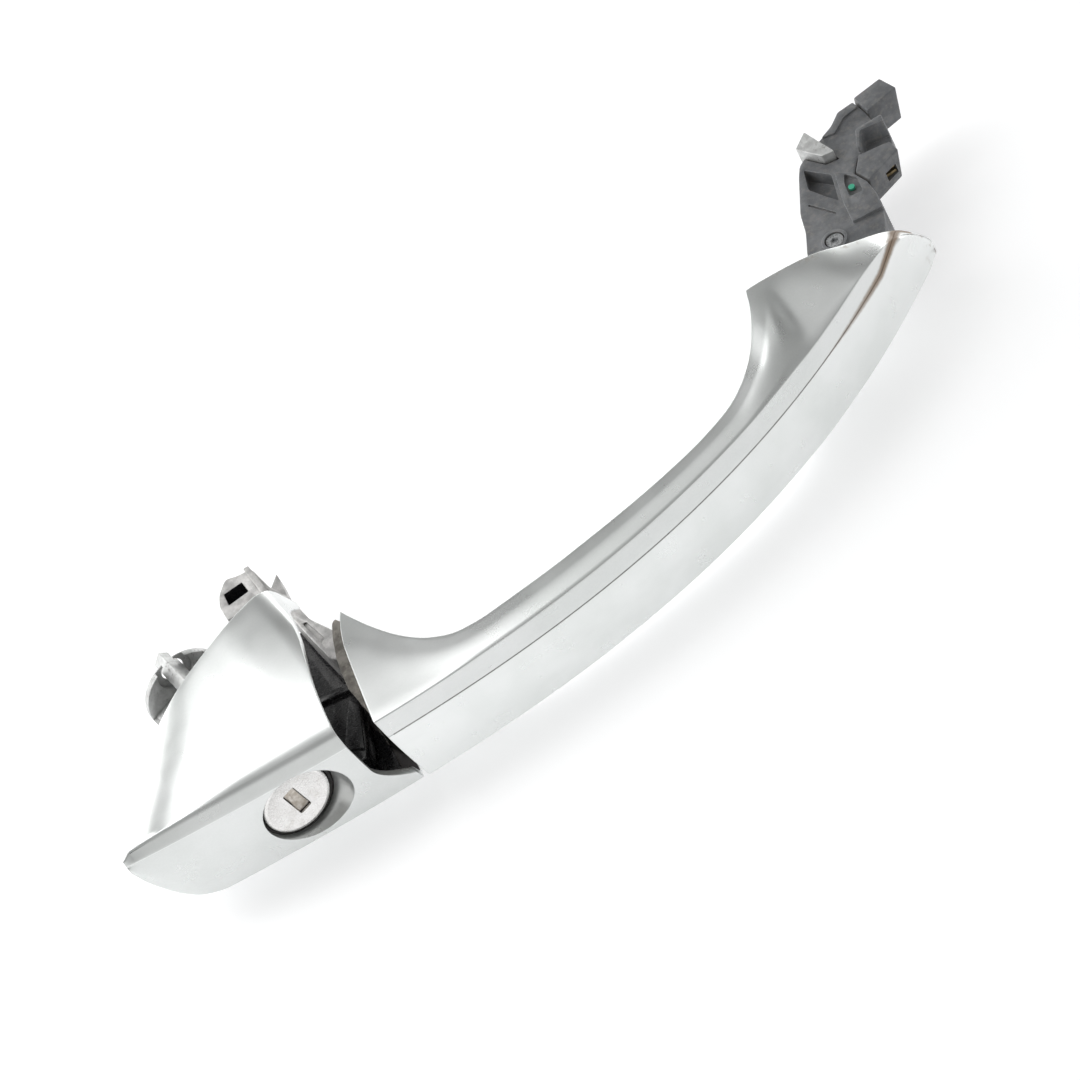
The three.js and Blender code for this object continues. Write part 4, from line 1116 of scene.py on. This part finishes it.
def silver_paint(name="silver_paint", painted_light_gain=1.0):
    """Metallic paint with dirt along the seam and a painted highlight along the crease lines; the second
    argument makes it paler, painted light for the brighter-lit cover.
    """
    look = Look(name, (0.70, 0.715, 0.705), 0.75, 0.34)
    flakes = look.add("ShaderNodeSeparateColor")
    look.join(look.cells(2.2, "Color"), flakes.inputs[0])
    cloud = look.ramp(look.noise(0.035, 3.0), 0.35, 0.65)
    # A factor above 1 makes the silvers paler: painted light.
    silvers = [tuple(c * painted_light_gain for c in color) for color in ((0.68, 0.70, 0.69), (0.74, 0.755, 0.75))]
    flake, dirt, rust = (0.90, 0.915, 0.91), (0.22, 0.21, 0.20), (0.20, 0.115, 0.05)
    # The third colour here is the near-white of the painted highlight along the crease lines.
    earth, dulled, highlight_white = (0.30, 0.23, 0.16), (0.45, 0.45, 0.44), (0.97, 0.985, 0.975)
    tone = look.mix(cloud, *silvers)
    tone = look.mix(look.math("MULTIPLY", flakes.outputs[0], 0.09), tone, flake)

    seam = look.attribute("seam")
    uneven = look.noise(0.9, 4.0, 0.6)
    line = look.ramp(look.math("ADD", seam, look.math("MULTIPLY", uneven, 0.15)), 0.16, 0.42, 0.75, 0.0)
    tone = look.mix(line, tone, dirt)
    toward_tip = look.ramp(look.axis("X"), -15.0, 36.0)
    width = look.math("ADD", look.math("MULTIPLY", toward_tip, 1.7), 0.1)
    spread = look.math("DIVIDE", look.math("ADD", seam, look.math("MULTIPLY", uneven, 0.5)), width)
    stain = look.math("MULTIPLY", look.ramp(spread, 0.5, 1.25, 1.0, 0.0), toward_tip)
    tone = look.mix(look.math("MULTIPLY", stain, 0.9), tone, rust)

    near_seat = look.ramp(look.axis("Y"), -3.2, 0.2)
    blotches = look.ramp(look.noise(0.33, 6.0, 0.7), 0.50, 0.66)
    grime = look.math("MULTIPLY", near_seat, blotches)
    grime = look.math("MULTIPLY", grime, look.ramp(look.axis("X"), -8.0, 22.0))
    tone = look.mix(look.math("MULTIPLY", grime, 0.7), tone, earth)
    scuff = look.ramp(look.noise(0.12, 5.0, 0.6, look.stretched(0.3, 1.0, 1.0)), 0.5, 0.85)
    tone = look.mix(look.math("MULTIPLY", scuff, 0.10), tone, dulled)

    # A near-white, less metallic line within about 0.2 mm of the crease lines: a painted highlight.
    painted_highlight = look.ramp(look.attribute("crease"), 0.04, 0.2, 0.85, 0.0)
    tone = look.mix(painted_highlight, tone, highlight_white)
    look.set("Base Color", tone)
    # The rust stain, the grime and the painted highlight all lower the metallic.
    dull = look.math("MAXIMUM", look.math("MAXIMUM", stain, painted_highlight), grime)
    look.set("Metallic", look.math("SUBTRACT", 0.78, look.math("MULTIPLY", dull, 0.66)))
    rough = look.ramp(look.noise(0.12, 3.0), 0.3, 0.7, 0.27, 0.32)
    look.set("Roughness", look.math("ADD", rough, look.math("MULTIPLY", stain, 0.3)))
    peel = look.grain(look.noise(0.9, 1.0), 0.02, 0.06, 0.2)
    look.set("Coat Weight", 0.45)
    look.set("Coat Roughness", look.ramp(look.noise(0.9, 3.0), 0.3, 0.75, 0.05, 0.12))
    look.set("Coat Normal", peel)
    return look.material


def cast_metal(name="die_cast", tone_a=(0.50, 0.505, 0.50), tone_b=(0.66, 0.665, 0.66), spots=0.8):
    look = Look(name, tone_a, 0.75, 0.48)
    tone = look.mix(look.ramp(look.noise(0.25, 5.0, 0.65), 0.35, 0.68), tone_a, tone_b)
    blotch = look.ramp(look.noise(1.3, 6.0, 0.75), 0.53, 0.64)
    corroded = look.math("MULTIPLY", blotch, look.ramp(look.noise(0.16, 3.0), 0.40, 0.62))
    corroded = look.math("MULTIPLY", corroded, spots)
    tone = look.mix(corroded, tone, (0.13, 0.11, 0.10))
    chalk = look.ramp(look.noise(2.6, 5.0, 0.7), 0.62, 0.72)
    tone = look.mix(look.math("MULTIPLY", chalk, 0.5), tone, (0.82, 0.81, 0.76))
    # Darker in corners and gaps: partly grime, partly painted shade.
    tone = look.in_gaps(tone, 2.0, 0.25, 0.8, 0.75, (0.09, 0.085, 0.08))
    look.set("Base Color", tone)
    look.set("Metallic", look.math("SUBTRACT", 0.8, look.math("MULTIPLY", corroded, 0.7)))
    look.uneven_roughness(0.8, 4.0, 0.38, 0.62)
    grain = look.grain(look.noise(3.2, 5.0, 0.7), 0.28, 0.10, 0.15)
    look.set("Normal", look.bump(blotch, 0.3, 0.08, grain))
    return look.material


def polished_steel():
    look = Look("polished_steel", (0.80, 0.79, 0.775), 0.9, 0.22)
    stain = look.ramp(look.noise(0.32, 5.0, 0.6), 0.45, 0.7)
    tone = look.mix(look.math("MULTIPLY", stain, 0.5), (0.83, 0.82, 0.81), (0.62, 0.60, 0.57))
    dots = look.ramp(look.cells(0.8, "Distance"), 0.05, 0.09, 1.0, 0.0)
    dots = look.math("MULTIPLY", dots, look.ramp(look.noise(0.3, 2.0), 0.5, 0.56))
    tone = look.mix(look.math("MULTIPLY", dots, 0.7), tone, (0.25, 0.23, 0.21))
    # Darker in corners and gaps: painted shade.
    look.set("Base Color", look.in_gaps(tone, 0.9, 0.3, 0.85, 0.7, (0.12, 0.10, 0.08)))
    look.uneven_roughness(1.4, 4.0, 0.16, 0.34)
    look.grain(look.noise(4.0, 2.0, 0.5, look.stretched(0.12, 1.0, 2.5)), 0.05, 0.03, 0.1)
    return look.material


def shutter_steel():
    look = Look("shutter_steel", (0.55, 0.50, 0.44), 0.7, 0.42)
    wear = look.ramp(look.noise(0.9, 5.0, 0.6), 0.35, 0.65)
    tone = look.mix(wear, (0.46, 0.41, 0.35), (0.66, 0.62, 0.57))
    # Darker in corners and gaps: painted shade.
    look.set("Base Color", look.in_gaps(tone, 0.7, 0.3, 0.85, 0.85, (0.05, 0.04, 0.035)))
    look.uneven_roughness(2.0, 3.0, 0.34, 0.52)
    look.grain(look.noise(5.0, 4.0), 0.15, 0.05, 0.1)
    return look.material


def moulded(name, color, lighter, roughness, grain, dusty, gloss=0.0):
    """Moulded plastic or rubber with dust, packed dirt in its gaps and a patchy painted highlight along its
    sharp edges.
    """
    # Strength of the painted highlight along sharp edges.
    painted_highlight = 0.35
    look = Look(name, color, 0.0, roughness)
    tone = look.mix(look.ramp(look.noise(0.3, 4.0), 0.35, 0.7), color, lighter)
    fibre = look.ramp(look.noise(5.0, 3.0, 0.6, look.stretched(1.0, 0.35, 1.0)), 0.6, 0.75)
    tone = look.mix(look.math("MULTIPLY", fibre, 0.25), tone, tuple(min(1.0, c * 1.9) for c in lighter))
    settled = look.ramp(look.noise(0.7, 5.0, 0.65), 0.45, 0.75)
    settled = look.math("MULTIPLY", settled, dusty)
    tone = look.mix(settled, tone, (0.32, 0.29, 0.25))
    tone = look.in_gaps(tone, 2.5, 0.2, 0.7, 0.7 * dusty, (0.20, 0.165, 0.125))
    # Sharp edges made lighter in patches: a painted highlight.
    patchy = look.ramp(look.noise(0.8, 5.0, 0.6), 0.3, 0.6, 0.25, 1.0)
    edge_highlight = look.math("MULTIPLY", look.corners(0.35), patchy)
    edge_highlight = look.math("MULTIPLY", edge_highlight, painted_highlight)
    tone = look.mix(edge_highlight, tone, tuple(min(1.0, 0.12 + c * 2.6) for c in lighter))
    look.set("Base Color", tone)
    look.uneven_roughness(1.1, 4.0, roughness - 0.08, min(1.0, roughness + 0.12))
    look.grain(look.noise(grain, 4.0, 0.7), 0.22, 0.07, 0.15)
    if gloss > 0:
        look.set("Coat Weight", gloss)
        look.set("Coat Roughness", 0.08)
    return look.material


def plated(name, color, roughness):
    look = Look(name, color, 0.95, roughness)
    darker, gap_shade = [tuple(c * share for c in color) for share in (0.62, 0.2)]
    tone = look.mix(look.ramp(look.noise(0.9, 4.0), 0.45, 0.75), color, darker)
    # Much darker copy of the colour in corners and gaps: painted shade.
    look.set("Base Color", look.in_gaps(tone, 1.0, 0.3, 0.85, 0.7, gap_shade))
    look.uneven_roughness(2.0, 3.0, roughness - 0.06, roughness + 0.16)
    look.grain(look.noise(4.0, 3.0), 0.10, 0.04, 0.12)
    return look.material


def floor_look():
    look = Look("pale_floor", (0.85, 0.85, 0.86), 0.0, 0.75)
    look.uneven_roughness(0.01, 2.0, 0.7, 0.8)
    look.set("Emission Color", (1.0, 1.0, 1.0))
    look.set("Emission Strength", FLOOR_GLOW)
    return look.material


# ---- placing pieces ----
def paint_faces(obj, *materials):
    """Gives the slots their materials; faces keep their slot, and slots past the last one given use it."""
    indices = np.zeros(len(obj.data.polygons), np.int32)
    obj.data.polygons.foreach_get("material_index", indices)
    obj.data.materials.clear()
    for material in materials:
        obj.data.materials.append(material)
    obj.data.polygons.foreach_set("material_index", np.minimum(indices, len(materials) - 1))


def second_inside(obj, low, high):
    """Faces whose middle lies in the box (mm, lock frame) go to the second material slot."""
    a = to_row([low])[0]
    b = to_row([high])[0]
    for polygon in obj.data.polygons:
        c = polygon.center
        if all(a[i] <= c[i] <= b[i] for i in range(3)):
            polygon.material_index = 1
    return obj


def show(obj, body, node, slot_name, *materials):
    """Puts a finished piece in place of its CAD node."""
    paint_faces(obj, *materials)
    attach(obj, body)
    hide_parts(node)
    return obj


def carry(node, material, rounding):
    """Keeps a CAD node on show, with its own look and softened edges."""
    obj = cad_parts[node]
    obj.data.materials.clear()
    obj.data.materials.append(material)
    add_bevel(obj, rounding, 2, 38)
    mod = obj.modifiers.new("normals", "WEIGHTED_NORMAL")
    mod.keep_sharp = True


def mark_line(obj, name, line):
    """Stores each vertex's distance (mm) from a line of points (mm, lock frame); no line means far away."""
    mesh = obj.data
    values = np.full(len(mesh.vertices), 50.0, np.float32)
    if line is not None:
        line = to_row(line) / MM
        steps = np.concatenate([[0], np.cumsum(np.linalg.norm(np.diff(line, axis=0), axis=1))])
        fine = np.linspace(0, steps[-1], int(steps[-1] / 0.1))
        tree = KDTree(len(fine))
        for i, point in enumerate(np.stack([np.interp(fine, steps, line[:, a]) for a in range(3)], axis=1)):
            tree.insert(point, i)
        tree.balance()
        for i, vertex in enumerate(mesh.vertices):
            values[i] = tree.find(vertex.co / MM)[2]
    mesh.attributes.new(name, "FLOAT", "POINT").data.foreach_set("value", values)


def seam_line():
    """The line between the outer cover and the body."""
    xs = np.linspace(29, GRIP_TIP_X - 5.0, 400)
    y, z = cover_section(xs)[0]
    return np.stack([xs, np.broadcast_to(y, xs.shape), np.broadcast_to(z, xs.shape)], axis=1)


def grip_edge_line():
    xs = np.linspace(28, 205, 300)
    p = grip_profile(xs)
    return np.stack([xs, p["face"] + np.minimum(1.0, p["depth"] * 0.1), p["edge"]], axis=1)


def cap_crease_line():
    xs = np.linspace(CAP_TIP_X, 24, 200)
    return np.stack([xs, bow_y(xs), track(CAP_CREASE_Z, xs, 1.0)], axis=1)


def build_pieces(cast):
    paint = silver_paint()
    dark = moulded("dark_plastic", (0.115, 0.12, 0.128), (0.17, 0.175, 0.183), 0.52, 4.0, 0.35)
    # Paler copy of the silver paint for the outer cover: painted light.
    cover_lit_paint = silver_paint("silver_cover_lit", COVER_PAINTED_LIGHT)
    end_wall = moulded("grip_end_plastic", (0.10, 0.092, 0.08), (0.22, 0.205, 0.185), 0.8, 2.2, 0.45)
    primer = moulded("bare_inside", (0.10, 0.092, 0.092), (0.14, 0.13, 0.13), 0.45, 2.0, 0.1)
    black = moulded("black_frame", (0.012, 0.012, 0.014), (0.02, 0.02, 0.022), 0.25, 1.2, 0.06, 0.6)
    rubber = moulded("black_rubber", (0.012, 0.012, 0.013), (0.03, 0.03, 0.03), 0.7, 2.0, 0.1)
    arm_cast = cast_metal("arm_cast", (0.40, 0.395, 0.39), (0.62, 0.61, 0.60), 0.4)
    mouth_a = block("mouth", 232.6, 246, 44.2, 48.8, -2.8, 4.2)
    mouth_b = prism("mouth", [(223.1, 18), (223.1, 24.6), (226.9, 25.2), (226.9, 18)], -0.5, 2.7)

    cover = show(build_cover(), "grip", "grip_outer_cover", "silver_paint", cover_lit_paint)
    body = show(build_body(), "grip", "grip_inner_body", "silver_paint", paint)
    for obj in (cover, body):
        mark_line(obj, "seam", seam_line())
        mark_line(obj, "crease", grip_edge_line())
    show(build_insert(), "grip", "grip_end_insert", "grip_end_plastic", end_wall)
    cap = show(build_cap(), "cap_base", "lock_cap", "silver_paint", paint, primer)
    mark_line(cap, "seam", None)
    mark_line(cap, "crease", cap_crease_line())
    show(build_frame(), "cap_base", "cap_inner_frame", "black_frame", black)
    show(build_lock_face(), "lock_core", "lock_face", "polished_steel", polished_steel())
    show(build_shutter(), "shutter", "key_shutter", "polished_steel", shutter_steel())
    show(build_seal_ring(), "cap_base", "lock_seal_ring", "black_rubber", rubber)
    show(build_housing(), "cap_base", "lock_housing", "die_cast", cast)
    show(build_tail(), "lock_core", "tail_driver", "die_cast", cast)
    # The arm's window walls take the black material as painted shade.
    show(build_arm(), "grip", "latch_arm", "die_cast", arm_cast, black)
    show(build_foot(), "grip", "hinge_foot", "dark_plastic", dark)
    show(build_hook(), "grip", "foot_hook", "die_cast", cast)
    for name, shell, mouth in (("connector_a", SHELL_A, mouth_a), ("connector_b", SHELL_B, mouth_b)):
        show(build_connector(name + "_skin", shell, mouth), "grip", name, "dark_plastic", dark)


def dress_small_parts(cast):
    """Looks for the pieces that keep their CAD shape."""
    steel = plated("fastener_steel", (0.62, 0.63, 0.64), 0.3)
    brass = plated("contact_metal", (0.30, 0.24, 0.14), 0.42)
    green = moulded("green_plug", (0.03, 0.36, 0.20), (0.06, 0.48, 0.30), 0.35, 3.0, 0.1)
    potting = moulded("potting", (0.03, 0.03, 0.035), (0.06, 0.06, 0.065), 0.5, 2.0, 0.2)
    board = moulded("board", (0.01, 0.10, 0.045), (0.02, 0.16, 0.08), 0.4, 3.0, 0.1)
    carry("lock_plug", cast, 0.2)
    for node in ("housing_screw", "plug_retaining_clip", "foot_screw"):
        carry(node, steel, 0.2)
    for node in ("pin_a_1", "pin_a_2", "pin_a_3", "pin_b_1", "pin_b_2"):
        carry(node, brass, 0.15)
    carry("sensor_strip", brass, 0.05)
    carry("seal_plug_green", green, 0.15)
    carry("antenna_module", potting, 0.4)
    carry("sensor_board", board, 0.1)


# ---- stage ----
def build_floor():
    z = cad_low.z - FLOOR_BELOW
    mesh = bpy.data.meshes.new("floor")
    corners = [(-FLOOR_HALF, -FLOOR_HALF, z), (FLOOR_HALF, -FLOOR_HALF, z), (FLOOR_HALF, FLOOR_HALF, z),
               (-FLOOR_HALF, FLOOR_HALF, z)]
    mesh.from_pydata(corners, [], [(0, 1, 2, 3)])
    floor = link(mesh, "floor")
    mesh.materials.append(floor_look())


def sky_levels(tree, height, stops):
    """Grey level against the height of the direction, 0 at the horizon and 1 overhead."""
    node = tree.nodes.new("ShaderNodeValToRGB")
    node.color_ramp.interpolation = "EASE"
    while len(node.color_ramp.elements) < len(stops):
        node.color_ramp.elements.new(0.5)
    for element, (position, level) in zip(node.color_ramp.elements, stops):
        element.position = position
        element.color = (*(level * tint for tint in SKY_TINT), 1.0)
    tree.links.new(height, node.inputs["Fac"])
    return node.outputs["Color"]


def build_world():
    world = bpy.data.worlds.new("studio")
    world.use_nodes = True
    tree = world.node_tree
    where = tree.nodes.new("ShaderNodeTexCoord")
    split = tree.nodes.new("ShaderNodeSeparateXYZ")
    tree.links.new(where.outputs["Generated"], split.inputs[0])
    side = tree.nodes.new("ShaderNodeMapRange")
    side.interpolation_type = "SMOOTHSTEP"
    side.inputs["From Min"].default_value = SKY_CHANGE[0]
    side.inputs["From Max"].default_value = SKY_CHANGE[1]
    tree.links.new(split.outputs["Y"], side.inputs["Value"])
    mix = tree.nodes.new("ShaderNodeMix")
    mix.data_type = "RGBA"
    tree.links.new(side.outputs["Result"], mix.inputs[0])
    tree.links.new(sky_levels(tree, split.outputs["Z"], SKY_OUTER), mix.inputs[6])
    tree.links.new(sky_levels(tree, split.outputs["Z"], SKY_DOOR), mix.inputs[7])
    tree.links.new(mix.outputs[2], tree.nodes["Background"].inputs["Color"])
    bpy.context.scene.world = world


def soft_light(name, at, target, size, power):
    data = bpy.data.lights.new(name, "AREA")
    data.shape = "RECTANGLE"
    data.size = size[0]
    data.size_y = size[1]
    data.energy = power
    lamp = bpy.data.objects.new(name, data)
    bpy.context.scene.collection.objects.link(lamp)
    lamp.location = at
    lamp.rotation_mode = "QUATERNION"
    lamp.rotation_quaternion = (Vector(target) - Vector(at)).to_track_quat("-Z", "Y")
    lamp.visible_camera = False


def build_camera():
    data = bpy.data.cameras.new("camera")
    camera = bpy.data.objects.new("camera", data)
    bpy.context.scene.collection.objects.link(camera)
    data.sensor_width = 36.0
    data.lens = CAMERA_LENS
    data.shift_x, data.shift_y = CAMERA_SHIFT
    data.clip_start = 0.05
    data.clip_end = 50.0
    axes = Matrix((CAMERA_RIGHT, CAMERA_UP, CAMERA_BACK)).transposed().to_4x4()
    camera.matrix_world = Matrix.Translation(Vector(CAMERA_AT) * MM) @ axes
    bpy.context.scene.camera = camera


def build_stage():
    build_floor()
    build_world()
    for i, (x, power) in enumerate(KEY_PANELS):
        soft_light(f"key_{i + 1}", (x, *KEY_AT), (x + KEY_AIM[0], *KEY_AIM[1:]), KEY_SIZE, power)
    build_camera()
    bpy.context.scene.view_settings.view_transform = "Standard"


cast_look = cast_metal()
build_pieces(cast_look)
dress_small_parts(cast_look)
build_stage()
